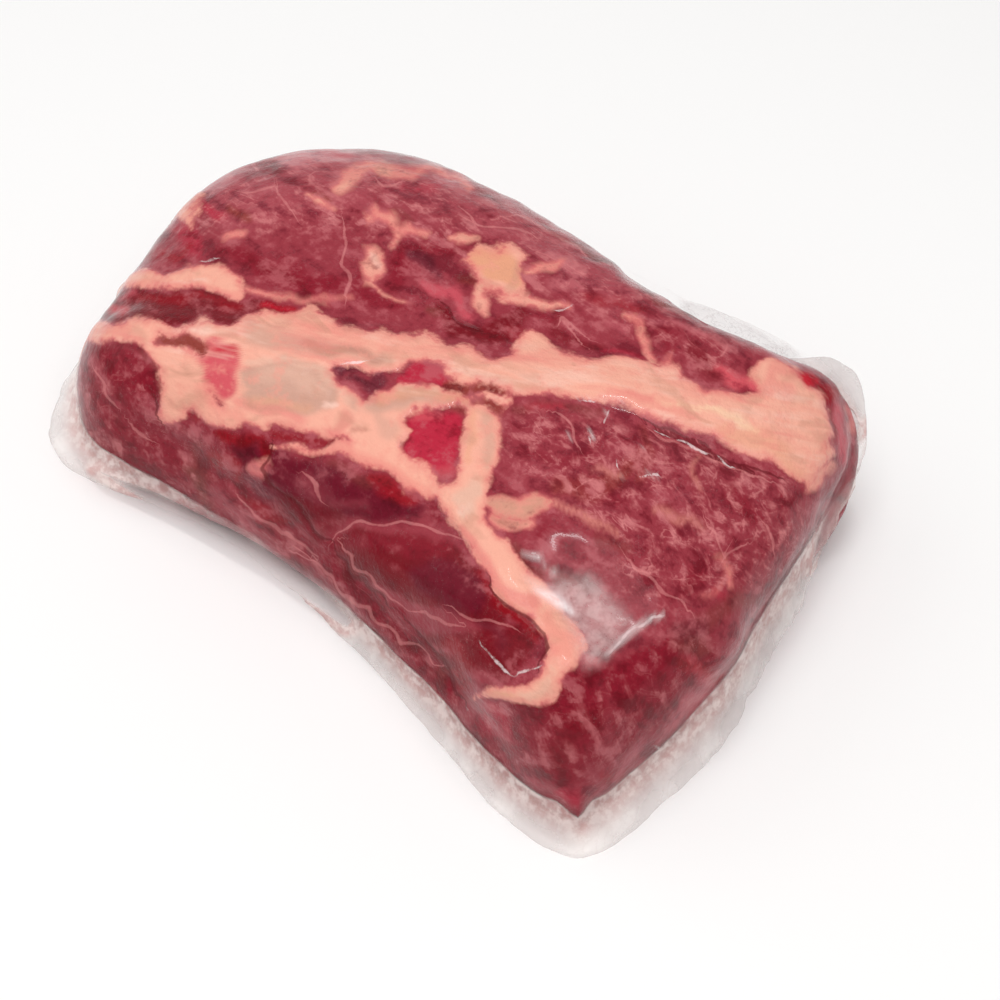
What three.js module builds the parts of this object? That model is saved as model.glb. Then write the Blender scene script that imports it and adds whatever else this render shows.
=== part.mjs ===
// A raw boneless beef joint in a clear vacuum bag, lying flat, as one solid: the beef with the film drawn tight
// over it, and the bag's loose margin round it. Millimetres, +Z up, +X along the joint towards its cut end.
// The origin is on the surface that the pack lies on, under the middle of its bounding box.
import * as THREE from "three";

// ---- Driving dimensions ----
const BEEF_HEIGHT = 84; // from the table to the crown, before the relief
const CROWN_SQUARE = 2.9; // how square the crown is, alike all round, where 2 is round
const CENTRE = new THREE.Vector2(-8, 8); // where the rings of the surface close, over and under the beef
const FOOT_INSET = 6; // from the widest outline in to the flat foot, where the widest level is at the table
const FOOT_TUCK = 0.35; // and the share of that level's height by which the foot lies further in
const MARGIN_ROOT = 3.2; // thickness of the bag's margin where it leaves the beef
const MARGIN_RIM = 1.6; // and at its outer edge
const MARGIN_CLEAR = 0.6; // least height of the margin's underside over the table
const CRINKLE_REACH = 2.2; // how far the crinkles push the rim out and in
const CRINKLE_LIFT = 1.8; // and up and down
const CRINKLES = [13, 31, 47]; // crinkles round the rim, as waves of falling size

// The joint from above at its widest level, anticlockwise from the lowest corner of the cut end.
// x, y: a point of that outline. level: its height, where the bag's margin leaves the beef.
// square: how square the shoulder above it is, 2 for a round one.
// margin, rim: how far the margin reaches out, and the height of its edge.
const OUTLINE = [
  { x: 136, y: -94, level: 12, square: 3.4, margin: 11, rim: 2 },
  { x: 145, y: -62, level: 16, square: 3.8, margin: 10, rim: 3 },
  { x: 147, y: -26, level: 26, square: 3.4, margin: 8, rim: 6 },
  { x: 143, y: 10, level: 34, square: 2.9, margin: 5, rim: 12 },
  { x: 137, y: 46, level: 38, square: 2.6, margin: 4, rim: 22 },
  { x: 129, y: 78, level: 40, square: 2.5, margin: 4, rim: 34 },
  { x: 109, y: 98, level: 42, square: 2.6, margin: 12, rim: 42 },
  { x: 74, y: 96, level: 40, square: 2.8, margin: 9, rim: 42 },
  { x: 36, y: 92, level: 38, square: 2.8, margin: 6, rim: 36 },
  { x: -8, y: 96, level: 36, square: 2.8, margin: 5, rim: 30 },
  { x: -54, y: 99, level: 34, square: 2.7, margin: 4, rim: 26 },
  { x: -105, y: 93, level: 34, square: 2.7, margin: 4, rim: 24 },
  { x: -140, y: 65, level: 34, square: 2.7, margin: 4, rim: 24 },
  { x: -152, y: 22, level: 32, square: 3.0, margin: 3, rim: 24 },
  { x: -144, y: -29, level: 30, square: 2.5, margin: 3, rim: 22 },
  { x: -131, y: -68, level: 26, square: 2.4, margin: 11, rim: 16 },
  { x: -106, y: -85, level: 20, square: 2.6, margin: 14, rim: 12 },
  { x: -60, y: -80, level: 15, square: 2.8, margin: 2, rim: 8 },
  { x: 0, y: -77, level: 12, square: 2.9, margin: 3, rim: 4 },
  { x: 62, y: -86, level: 11, square: 3.0, margin: 9, rim: 2 },
  { x: 108, y: -97, level: 11, square: 3.2, margin: 12, rim: 2 },
];

// Relief of the beef: muscles and ridges of fat that stand out of it (rise over 0), and the seams between them.
// along: points of its line on the surface. width: from the line to where a third of the rise is left.
const RELIEF = [
  // the two marbled muscles of the top, and the fat band between them
  { along: [[-99, 19, 77], [-34, 56, 82]], width: 34, rise: 4 },
  { along: [[16, 60, 84], [76, 70, 80]], width: 22, rise: 2.5 },
  { along: [[88, -26, 80], [121, 9, 72]], width: 28, rise: 3 },
  { along: [[-114, -65, 61], [-57, -42, 81], [-2, -23, 85], [61, 12, 84], [125, 56, 64]], width: 12, rise: 2 },
  // the slit along the band's lower edge, and the furrow over it at the round end
  { along: [[64, 8, 84], [82, 14, 82], [99, 21, 78], [118, 30, 72]], width: 6, rise: -3.5 },
  { along: [[-127, -50, 59], [-108, -45, 70], [-86, -40, 77], [-54, -32, 83]], width: 6, rise: -2.5 },
  // the upper muscle's own seams
  { along: [[-34, -14, 84], [1, 6, 86], [36, 28, 86], [74, 50, 82]], width: 9, rise: -2 },
  { along: [[-64, 24, 82], [-46, 12, 84], [-34, -2, 84]], width: 9, rise: -2 },
  // the two smooth dark lobes of the front, the silverskin between them and the strip below them
  { along: [[-36, -72, 56], [1, -69, 62]], width: 20, rise: 4 },
  { along: [[38, -79, 56], [81, -82, 62]], width: 15, rise: 4 },
  { along: [[11, -77, 46], [23, -73, 59], [45, -66, 71], [67, -66, 76]], width: 6, rise: -3 },
  { along: [[49, -83, 43], [68, -84, 53], [97, -81, 69]], width: 6, rise: -2.2 },
  { along: [[-75, -82, 43], [-28, -78, 40], [23, -81, 31], [95, -95, 26]], width: 6, rise: -3 },
  // the rope of fat that runs down to the cut end, and the hollow that the film bridges beside it
  { along: [[50, -57, 79], [82, -69, 77], [108, -76, 72], [120, -81, 65]], width: 7, rise: 3 },
  { along: [[120, -81, 65], [114, -90, 57], [93, -93, 46]], width: 6, rise: 2 },
  { along: [[105, -66, 76], [122, -58, 73]], width: 12, rise: -6 },
  // the ridge over the cut end, and the flap that hangs over it
  { along: [[122, -70, 70], [133, -45, 67], [143, -20, 54]], width: 7, rise: 2.5 },
  { along: [[147, -30, 46], [147, -22, 42]], width: 9, rise: 4 },
];
const RELIEF_START = 0.14; // share of the wall's height over which the relief grows from nothing

// ---- Mesh density ----
const STEPS_ROUND = 144;
const FOOT_RINGS = 2;
const LOWER_RINGS = 4;
const MARGIN_RINGS = 2;
const UPPER_RINGS = 29;
const RELIEF_STEPS = 16; // along each line of the relief

// A closed smooth run through one value of each outline point, at share u of the way round.
function closedRun(values, u) {
  const n = values.length;
  const i = Math.floor(u * n);
  const t = u * n - i;
  const [a, b, c, d] = [-1, 0, 1, 2].map((k) => values[(i + k + n) % n]);
  const slopeB = (c - a) / 2;
  const slopeC = (d - b) / 2;
  const rise = c - b;
  return b + t * (slopeB + t * (3 * rise - 2 * slopeB - slopeC + t * (slopeB + slopeC - 2 * rise)));
}

// The measures of the section at share u of the way round.
function sectionAt(u) {
  const section = {};
  for (const key of Object.keys(OUTLINE[0])) {
    section[key] = closedRun(OUTLINE.map((point) => point[key]), u);
  }
  return section;
}

// The crinkling of the bag's rim at share u of the way round, from -1 to 1.
function crinkle(u, phase) {
  const waves = CRINKLES.map((count, i) => Math.sin(2 * Math.PI * count * u + phase * (i + 1)) / (i + 1));
  return waves.reduce((sum, wave) => sum + wave) / CRINKLES.length;
}

// One section of the surface, from the middle of the foot out to the rim and back over the beef.
// lift says how far up the wall each point is, and is 0 below the margin.
function sectionPoints(u) {
  const s = sectionAt(u);
  const edge = new THREE.Vector2(s.x, s.y);
  const outward = edge.clone().sub(CENTRE);
  const foot = 1 - (FOOT_INSET + FOOT_TUCK * s.level) / outward.length();
  outward.normalize();
  const points = [];
  const inside = (share, z, lift = 0) => {
    const p = CENTRE.clone().lerp(edge, share);
    points.push({ position: new THREE.Vector3(p.x, p.y, z), lift });
  };

  for (let i = 1; i <= FOOT_RINGS; i++) inside((foot * i) / FOOT_RINGS, 0);
  const under = s.level - MARGIN_ROOT / 2;
  for (let i = 1; i <= LOWER_RINGS; i++) {
    const a = ((i / LOWER_RINGS) * Math.PI) / 2;
    inside(THREE.MathUtils.lerp(foot, 1, Math.sin(a)), under * (1 - Math.cos(a)));
  }

  const reach = s.margin + CRINKLE_REACH * crinkle(u, 1);
  const rim = Math.max(s.rim + CRINKLE_LIFT * crinkle(u, 2), MARGIN_CLEAR + MARGIN_RIM / 2);
  for (const side of [-1, 1]) {
    for (let i = 1; i <= MARGIN_RINGS; i++) {
      const share = side < 0 ? i / MARGIN_RINGS : 1 - (i - 1) / MARGIN_RINGS;
      const thickness = THREE.MathUtils.lerp(MARGIN_ROOT, MARGIN_RIM, share);
      const middle = THREE.MathUtils.lerp(s.level, rim, share);
      const p = edge.clone().addScaledVector(outward, reach * share);
      points.push({ position: new THREE.Vector3(p.x, p.y, middle + (side * thickness) / 2), lift: 0 });
    }
  }

  const over = s.level + MARGIN_ROOT / 2;
  for (let i = 0; i < UPPER_RINGS; i++) {
    const climb = i / UPPER_RINGS;
    const a = (climb * Math.PI) / 2;
    const square = THREE.MathUtils.lerp(s.square, CROWN_SQUARE, climb ** 3);
    const size = (Math.cos(a) ** square + Math.sin(a) ** square) ** (-1 / square);
    const lift = size * Math.sin(a);
    inside(size * Math.cos(a), THREE.MathUtils.lerp(over, BEEF_HEIGHT, lift), lift);
  }
  return points;
}

const reliefLines = RELIEF.map(({ along, width, rise }) => {
  const curve = new THREE.CatmullRomCurve3(along.map((p) => new THREE.Vector3(...p)));
  return { points: curve.getSpacedPoints(RELIEF_STEPS), width, rise };
});

// How far the relief stands out at a point of the surface.
function reliefAt(position) {
  let height = 0;
  for (const { points, width, rise } of reliefLines) {
    const distance = Math.min(...points.map((p) => p.distanceTo(position)));
    height += rise * Math.exp(-((distance / width) ** 2));
  }
  return height;
}

function packGeometry() {
  const sections = Array.from({ length: STEPS_ROUND }, (_, i) => sectionPoints(i / STEPS_ROUND));
  const rings = sections[0].length;
  const points = sections.flat();
  const bottom = points.length;
  const top = bottom + 1;
  points.push({ position: new THREE.Vector3(CENTRE.x, CENTRE.y, 0), lift: 0 });
  points.push({ position: new THREE.Vector3(CENTRE.x, CENTRE.y, BEEF_HEIGHT), lift: 1 });

  const faces = [];
  for (let i = 0; i < STEPS_ROUND; i++) {
    const here = i * rings;
    const next = ((i + 1) % STEPS_ROUND) * rings;
    faces.push(bottom, next, here);
    for (let k = 0; k < rings - 1; k++) {
      faces.push(here + k, next + k, next + k + 1, here + k, next + k + 1, here + k + 1);
    }
    faces.push(here + rings - 1, next + rings - 1, top);
  }

  const geometry = new THREE.BufferGeometry().setFromPoints(points.map((p) => p.position));
  geometry.setIndex(faces);
  geometry.computeVertexNormals();
  const { position, normal } = geometry.attributes;
  points.forEach(({ position: base, lift }, i) => {
    const growth = THREE.MathUtils.smoothstep(lift, 0, RELIEF_START);
    const outward = new THREE.Vector3().fromBufferAttribute(normal, i);
    const p = base.clone().addScaledVector(outward, growth * reliefAt(base));
    position.setXYZ(i, p.x, p.y, p.z);
  });
  geometry.computeVertexNormals();
  geometry.computeBoundingBox();
  const middle = geometry.boundingBox.getCenter(new THREE.Vector3());
  geometry.translate(-middle.x, -middle.y, 0);
  return geometry;
}

const pack = new THREE.Mesh(
  packGeometry(),
  new THREE.MeshStandardMaterial({ color: 0x9c3c46, roughness: 0.3, metalness: 0 }),
);
pack.name = "beef_in_vacuum_bag";

const part = new THREE.Group();
part.add(pack);
export default part;
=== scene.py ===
# A raw boneless beef joint in a clear vacuum bag, lying flat on a pale table.
# The beef is one mesh that is shaped over the pack's solid and coloured muscle by muscle, and the bag is a
# second mesh, drawn tight over the beef, with a loose crinkled margin.
import math

import bmesh
import bpy
import numpy as np
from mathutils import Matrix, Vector, noise
from mathutils.bvhtree import BVHTree


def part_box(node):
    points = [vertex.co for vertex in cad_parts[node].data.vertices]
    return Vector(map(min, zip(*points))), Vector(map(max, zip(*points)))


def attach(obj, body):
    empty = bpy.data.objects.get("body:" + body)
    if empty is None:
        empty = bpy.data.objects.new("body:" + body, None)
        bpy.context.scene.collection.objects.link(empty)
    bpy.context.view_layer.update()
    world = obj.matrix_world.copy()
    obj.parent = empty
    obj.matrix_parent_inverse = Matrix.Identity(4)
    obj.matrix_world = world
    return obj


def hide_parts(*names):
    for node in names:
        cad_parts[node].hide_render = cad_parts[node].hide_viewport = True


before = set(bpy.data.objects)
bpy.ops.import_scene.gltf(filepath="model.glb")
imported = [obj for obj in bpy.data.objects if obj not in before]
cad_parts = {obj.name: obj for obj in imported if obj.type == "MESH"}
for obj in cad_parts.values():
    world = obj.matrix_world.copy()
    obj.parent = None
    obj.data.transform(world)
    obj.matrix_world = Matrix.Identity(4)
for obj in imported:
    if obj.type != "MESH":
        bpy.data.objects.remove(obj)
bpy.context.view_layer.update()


# ---- The view ----
# The joint is seen from above its front corner, from 0.8 metres away. Every mark on the beef is given by
# where it shows in this view, in pixels of a square picture.
PICTURE_SIDE = 1000
VIEW_AZIMUTH = math.radians(40)
VIEW_ELEVATION = math.radians(48)
VIEW_DISTANCE = 0.8
VIEW_TARGET = np.array((0.0238, -0.0167, 0.035))
TARGET_PIXEL = np.array((468.0, 480.0))
PIXEL_SIZE = 0.00037  # metres at the target that one pixel spans
SENSOR = 36.0
CLIP_START = 0.01

focal_pixels = VIEW_DISTANCE / PIXEL_SIZE
view_right = np.array((math.cos(VIEW_AZIMUTH), math.sin(VIEW_AZIMUTH), 0.0))
view_back = np.array((
    math.sin(VIEW_AZIMUTH) * math.cos(VIEW_ELEVATION),
    -math.cos(VIEW_AZIMUTH) * math.cos(VIEW_ELEVATION),
    math.sin(VIEW_ELEVATION),
))
view_up = np.cross(view_back, view_right)
eye = VIEW_TARGET + view_back * VIEW_DISTANCE


def placed(name, data):
    """A new object in the scene."""
    made = bpy.data.objects.new(name, data)
    bpy.context.collection.objects.link(made)
    return made


def turn_to(thing, way):
    """Turns a camera or a lamp to look along a way."""
    thing.rotation_mode = "QUATERNION"
    thing.rotation_quaternion = Vector(way).to_track_quat("-Z", "Y")


camera_data = bpy.data.cameras.new("camera")
camera_data.sensor_width = SENSOR
camera_data.lens = focal_pixels * SENSOR / PICTURE_SIDE
camera_data.shift_x = (PICTURE_SIDE / 2 - TARGET_PIXEL[0]) / PICTURE_SIDE
camera_data.shift_y = (TARGET_PIXEL[1] - PICTURE_SIDE / 2) / PICTURE_SIDE
camera_data.clip_start = CLIP_START
camera = placed("camera", camera_data)
camera.location = eye
turn_to(camera, -view_back)
bpy.context.scene.camera = camera


def in_view(points):
    """The pixels at which points show."""
    away = points - eye
    depth = -(away @ view_back)
    across = TARGET_PIXEL[0] + focal_pixels * (away @ view_right) / depth
    down = TARGET_PIXEL[1] - focal_pixels * (away @ view_up) / depth
    return np.stack((across, down), -1)


# ---- The table and the studio light ----
# A plain, pale, matt table top, lit from all round by a pale room and from above by large soft panels, with
# one narrow panel behind the joint for the glints in the film.
TABLE_SIZE = 6.0
TABLE_TONE = (0.93, 0.925, 0.92)
TABLE_ROUGHNESS = 0.9
TABLE_DROP = 0.0004  # below the joint
ROOM_STRENGTH = 0.33
ROOM_TONE = (1.0, 0.99, 0.98)
PANELS = {
    # name: place, aim, width and depth, watts
    "overhead": ((0.45, -0.55, 2.4), (0, 0, 0), (2.2, 2.2), 45.0),
    "left": ((-1.5, -0.7, 1.2), (0, 0, 0.03), (2.0, 2.0), 7.0),
    "glint": ((0.02, 0.06, 1.4), (0.02, 0, 0.05), (0.34, 0.05), 2.6),
}


def set_inputs(shader, values):
    """Sets a node's plain inputs by their names."""
    for name, value in values.items():
        shader.inputs[name].default_value = value


bpy.context.scene.view_settings.view_transform = "Standard"
room = bpy.data.worlds.new("room")
room.use_nodes = True
set_inputs(room.node_tree.nodes["Background"], {"Strength": ROOM_STRENGTH, "Color": (*ROOM_TONE, 1.0)})
bpy.context.scene.world = room
for name, (place, aim, (width, depth), watts) in PANELS.items():
    panel = bpy.data.lights.new(name, "AREA")
    panel.shape = "RECTANGLE"
    panel.size = width
    panel.size_y = depth
    panel.energy = watts
    lamp = placed(name, panel)
    lamp.location = place
    turn_to(lamp, Vector(aim) - Vector(place))


class Tie:
    """A socket in a material's tree, so that shader maths reads as Python."""

    def __init__(self, tree, socket=None):
        self.tree = tree
        self.socket = socket

    def node(self, kind, settings=None, sockets=None, out=0):
        """A new node of that type, with its settings first and then its sockets' values or links."""
        made = self.tree.nodes.new(kind)
        for name, value in (settings or {}).items():
            setattr(made, name, value)
        for name, value in (sockets or {}).items():
            socket = made.inputs[name]
            if isinstance(value, Tie):
                self.tree.links.new(value.socket, socket)
            else:
                socket.default_value = value
        return Tie(self.tree, made.outputs[out])

    def sum(self, operation, *values):
        return self.node("ShaderNodeMath", {"operation": operation}, dict(enumerate(values)))

    def __add__(self, other):
        return self.sum("ADD", self, other)

    def __radd__(self, other):
        return self.sum("ADD", other, self)

    def __sub__(self, other):
        return self.sum("SUBTRACT", self, other)

    def __rsub__(self, other):
        return self.sum("SUBTRACT", other, self)

    def __mul__(self, other):
        return self.sum("MULTIPLY", self, other)

    def __rmul__(self, other):
        return self.sum("MULTIPLY", other, self)

    def step(self, low, high, start=0.0, end=1.0):
        """A smooth rise from start to end as this goes from low to high."""
        return self.node("ShaderNodeMapRange", {"interpolation_type": "SMOOTHSTEP"},
                         {0: self, 1: low, 2: high, 3: start, 4: end})

    def blend(self, first, second):
        """The colour from first to second, with this as the share of the second."""
        def colour(value):
            return value if isinstance(value, Tie) else (*value, 1.0)
        return self.node("ShaderNodeMix", {"data_type": "RGBA"},
                         {0: self, 6: colour(first), 7: colour(second)}, out=2)

    def feed(self, shader, name):
        """Links this to a shader's input."""
        self.tree.links.new(self.socket, shader.inputs[name])


def new_material(name):
    """A new material, its shader and a way into its tree."""
    material = bpy.data.materials.new(name)
    material.use_nodes = True
    return material, material.node_tree.nodes["Principled BSDF"], Tie(material.node_tree)


def mesh_from(bm, name):
    """A new mesh of a bmesh's shape, which is freed."""
    made = bpy.data.meshes.new(name)
    bm.to_mesh(made)
    bm.free()
    return made


table_bm = bmesh.new()
bmesh.ops.create_grid(table_bm, x_segments=1, y_segments=1, size=TABLE_SIZE / 2)
bmesh.ops.translate(table_bm, vec=(0, 0, -TABLE_DROP), verts=table_bm.verts)
table_mesh = mesh_from(table_bm, "table")
table = placed("table", table_mesh)
table_material, table_shader, _ = new_material("table")
set_inputs(table_shader, {"Base Color": (*TABLE_TONE, 1.0), "Roughness": TABLE_ROUGHNESS})
table_mesh.materials.append(table_material)


# ---- The beef ----
# A boneless block of several raw muscles, held together by bands of fat and white tissue and cut square at
# its right end. It is shaped by casting rays from a flat core inside the pack's solid out to its surface,
# without the bag's margin, and then the fat, seams and lumps are raised on it.

# The fat, as outlines in the view: the long band with the white tissue under it and the rope that runs down
# to the cut end, and the loose patches in the muscles above and beside it.
FAT_OUTLINES = {
    "band_and_rope": [
        (20, 318), (60, 322), (100, 323), (115, 321), (130, 318), (150, 316), (165, 318), (185, 321),
        (205, 322), (225, 322), (245, 321), (258, 318), (270, 316), (282, 314), (292, 311), (300, 306),
        (320, 311), (335, 317), (350, 322), (372, 330), (400, 334), (425, 335), (440, 338), (460, 346),
        (480, 352), (500, 355), (512, 352), (519, 345), (524, 336), (531, 329), (540, 335), (547, 342),
        (552, 349), (562, 354), (580, 359), (600, 361), (625, 361), (645, 362), (655, 363), (668, 361),
        (678, 362), (685, 371), (700, 380), (718, 384), (735, 391), (750, 400), (757, 396), (748, 382),
        (746, 368), (756, 359), (768, 358), (782, 366), (795, 374), (803, 386), (818, 392), (829, 402),
        (833, 418), (833, 440), (828, 460), (820, 476), (811, 487), (800, 481), (788, 471), (775, 462),
        (760, 455), (745, 448), (730, 443), (715, 437), (700, 431), (685, 427), (670, 422), (655, 419),
        (640, 414), (620, 407), (605, 403), (590, 400), (575, 398), (555, 393), (540, 392), (520, 391),
        (508, 395), (510, 405), (504, 415), (504, 430), (503, 450), (503, 463), (497, 475), (490, 482),
        (488, 495), (483, 510), (490, 525), (505, 543), (517, 558), (532, 573), (548, 588), (562, 605),
        (572, 620), (579, 638), (583, 655), (577, 663), (566, 675), (560, 688), (548, 700), (535, 704),
        (515, 702), (500, 700), (480, 698), (468, 700), (474, 692), (485, 686), (500, 683), (515, 683),
        (530, 680), (541, 672), (549, 660), (552, 650), (548, 640), (540, 629), (522, 613), (507, 600),
        (499, 588), (490, 573), (480, 560), (468, 547), (458, 535), (447, 522), (440, 508), (437, 500),
        (425, 498), (410, 488), (396, 478), (382, 468), (366, 462), (350, 457), (330, 453), (300, 451),
        (275, 451), (268, 449), (285, 448), (310, 446), (330, 444), (347, 441), (330, 437), (305, 432),
        (285, 429), (270, 428), (262, 432), (250, 430), (240, 426), (225, 427), (212, 424), (204, 419),
        (198, 412), (192, 404), (185, 405), (182, 412), (176, 420), (165, 424), (161, 418), (163, 405),
        (160, 392), (156, 378), (151, 362), (149, 352), (143, 345), (132, 341), (120, 338), (108, 341),
        (98, 344), (60, 350), (20, 350),
    ],
    "upper_streak": [
        (40, 245), (95, 262), (126, 270), (137, 266), (150, 267), (165, 271), (185, 264), (200, 262),
        (216, 264), (230, 270), (240, 280), (243, 292), (238, 300), (225, 298), (210, 293), (195, 289),
        (175, 286), (150, 284), (126, 287), (95, 285), (40, 275),
    ],
    "tan_patch": [
        (462, 262), (468, 256), (480, 250), (500, 251), (520, 251), (528, 256), (527, 266), (522, 275),
        (524, 286), (515, 294), (503, 296), (494, 290), (480, 282), (470, 274),
    ],
    "left_rim": [
        (160, 212), (168, 205), (182, 196), (200, 188), (206, 196), (198, 208), (192, 220), (186, 228),
        (180, 221), (172, 215),
    ],
}
# Streaks and specks of fat: points of a line, each with the half-width there.
FAT_STREAKS = [
    [(343, 188, 9), (350, 177, 9), (368, 168, 6), (395, 166, 6), (420, 168, 4), (445, 174, 4), (468, 185, 3)],
    [(306, 197, 3), (318, 203, 5), (332, 211, 2.5)],
    [(366, 222, 3), (380, 214, 5), (392, 220, 5), (398, 234, 4), (390, 246, 3)],
    [(370, 250, 6), (373, 260, 9), (368, 274, 5), (366, 285, 3), (385, 296, 2), (404, 305, 2)],
    [(402, 232, 4), (413, 228, 5), (425, 232, 3)],
    [(452, 236, 3), (465, 238, 6), (478, 242, 3)],
    [(484, 288, 7), (485, 300, 7), (488, 312, 3)],
    [(505, 293, 4), (525, 297, 5), (540, 302, 5), (555, 306, 4), (572, 308, 2.5)],
    [(530, 273, 3), (545, 268, 5), (560, 262, 4)],
    [(630, 312, 2), (637, 320, 3), (643, 330, 4), (648, 345, 3), (653, 360, 5)],
    [(668, 352, 2), (664, 362, 3)],
    [(232, 238, 4), (240, 231, 5)],
    [(246, 290, 2), (256, 296, 4), (272, 300, 3), (300, 300, 3), (330, 299, 2.5), (352, 298, 2)],
    [(488, 502, 7), (505, 505, 11), (525, 508, 12), (545, 507, 8), (556, 506, 4)],
    [(500, 520, 9), (515, 525, 8), (528, 524, 6)],
    [(716, 557, 3), (724, 563, 5), (729, 575, 3), (735, 588, 3)],
    [(812, 488, 5), (820, 480, 6), (829, 470, 4)],
    [(250, 462, 4), (258, 464, 7), (264, 470, 4)],
]
# Muscle that shows inside the fat.
MUSCLE_IN_FAT = [
    [(160, 333, 5), (180, 336, 8), (195, 345, 7), (205, 353, 5)],
    [(337, 370, 4), (350, 378, 11), (366, 382, 13), (384, 378, 10), (402, 372, 7)],
    [(398, 374, 7), (415, 373, 11), (432, 376, 13), (447, 382, 8)],
    [(448, 385, 7), (470, 390, 6), (490, 391, 6), (502, 394, 4)],
    [(476, 404, 3), (488, 409, 5), (502, 414, 4)],
    [(411, 422, 9), (428, 432, 21), (448, 428, 19), (460, 412, 8)],
    [(418, 440, 14), (440, 450, 22), (446, 470, 12), (441, 484, 3)],
    [(212, 398, 2), (220, 402, 3)],
]

# Tones of muscle and fat, each as red, green and blue out of 255, as they look through the film.
TONES = {
    "lean": (156, 72, 80),
    "rose": (176, 90, 98),
    "blush": (196, 112, 118),
    "pink": (200, 92, 102),
    "bright": (188, 62, 78),
    "scarlet": (196, 50, 66),
    "crimson": (156, 32, 58),
    "berry": (146, 12, 46),
    "ruby": (142, 48, 64),
    "wine": (128, 36, 58),
    "plum": (118, 38, 62),
    # seam: painted shade, the dark of the slits between muscles
    "seam": (108, 26, 46),
    "dusk": (122, 62, 70),
    "rust": (150, 76, 70),
    "umber": (134, 72, 70),
    "salmon": (238, 158, 143),
    "coral": (228, 134, 128),
    "peach": (242, 176, 156),
    "cream": (230, 183, 163),
    "pearl": (246, 202, 186),
    "beige": (207, 161, 144),
    "sand": (204, 150, 130),
    "tan": (230, 164, 134),
    "flush": (214, 98, 106),
    "fleck": (220, 140, 140),
    "straw": (246, 200, 170),
}
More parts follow.
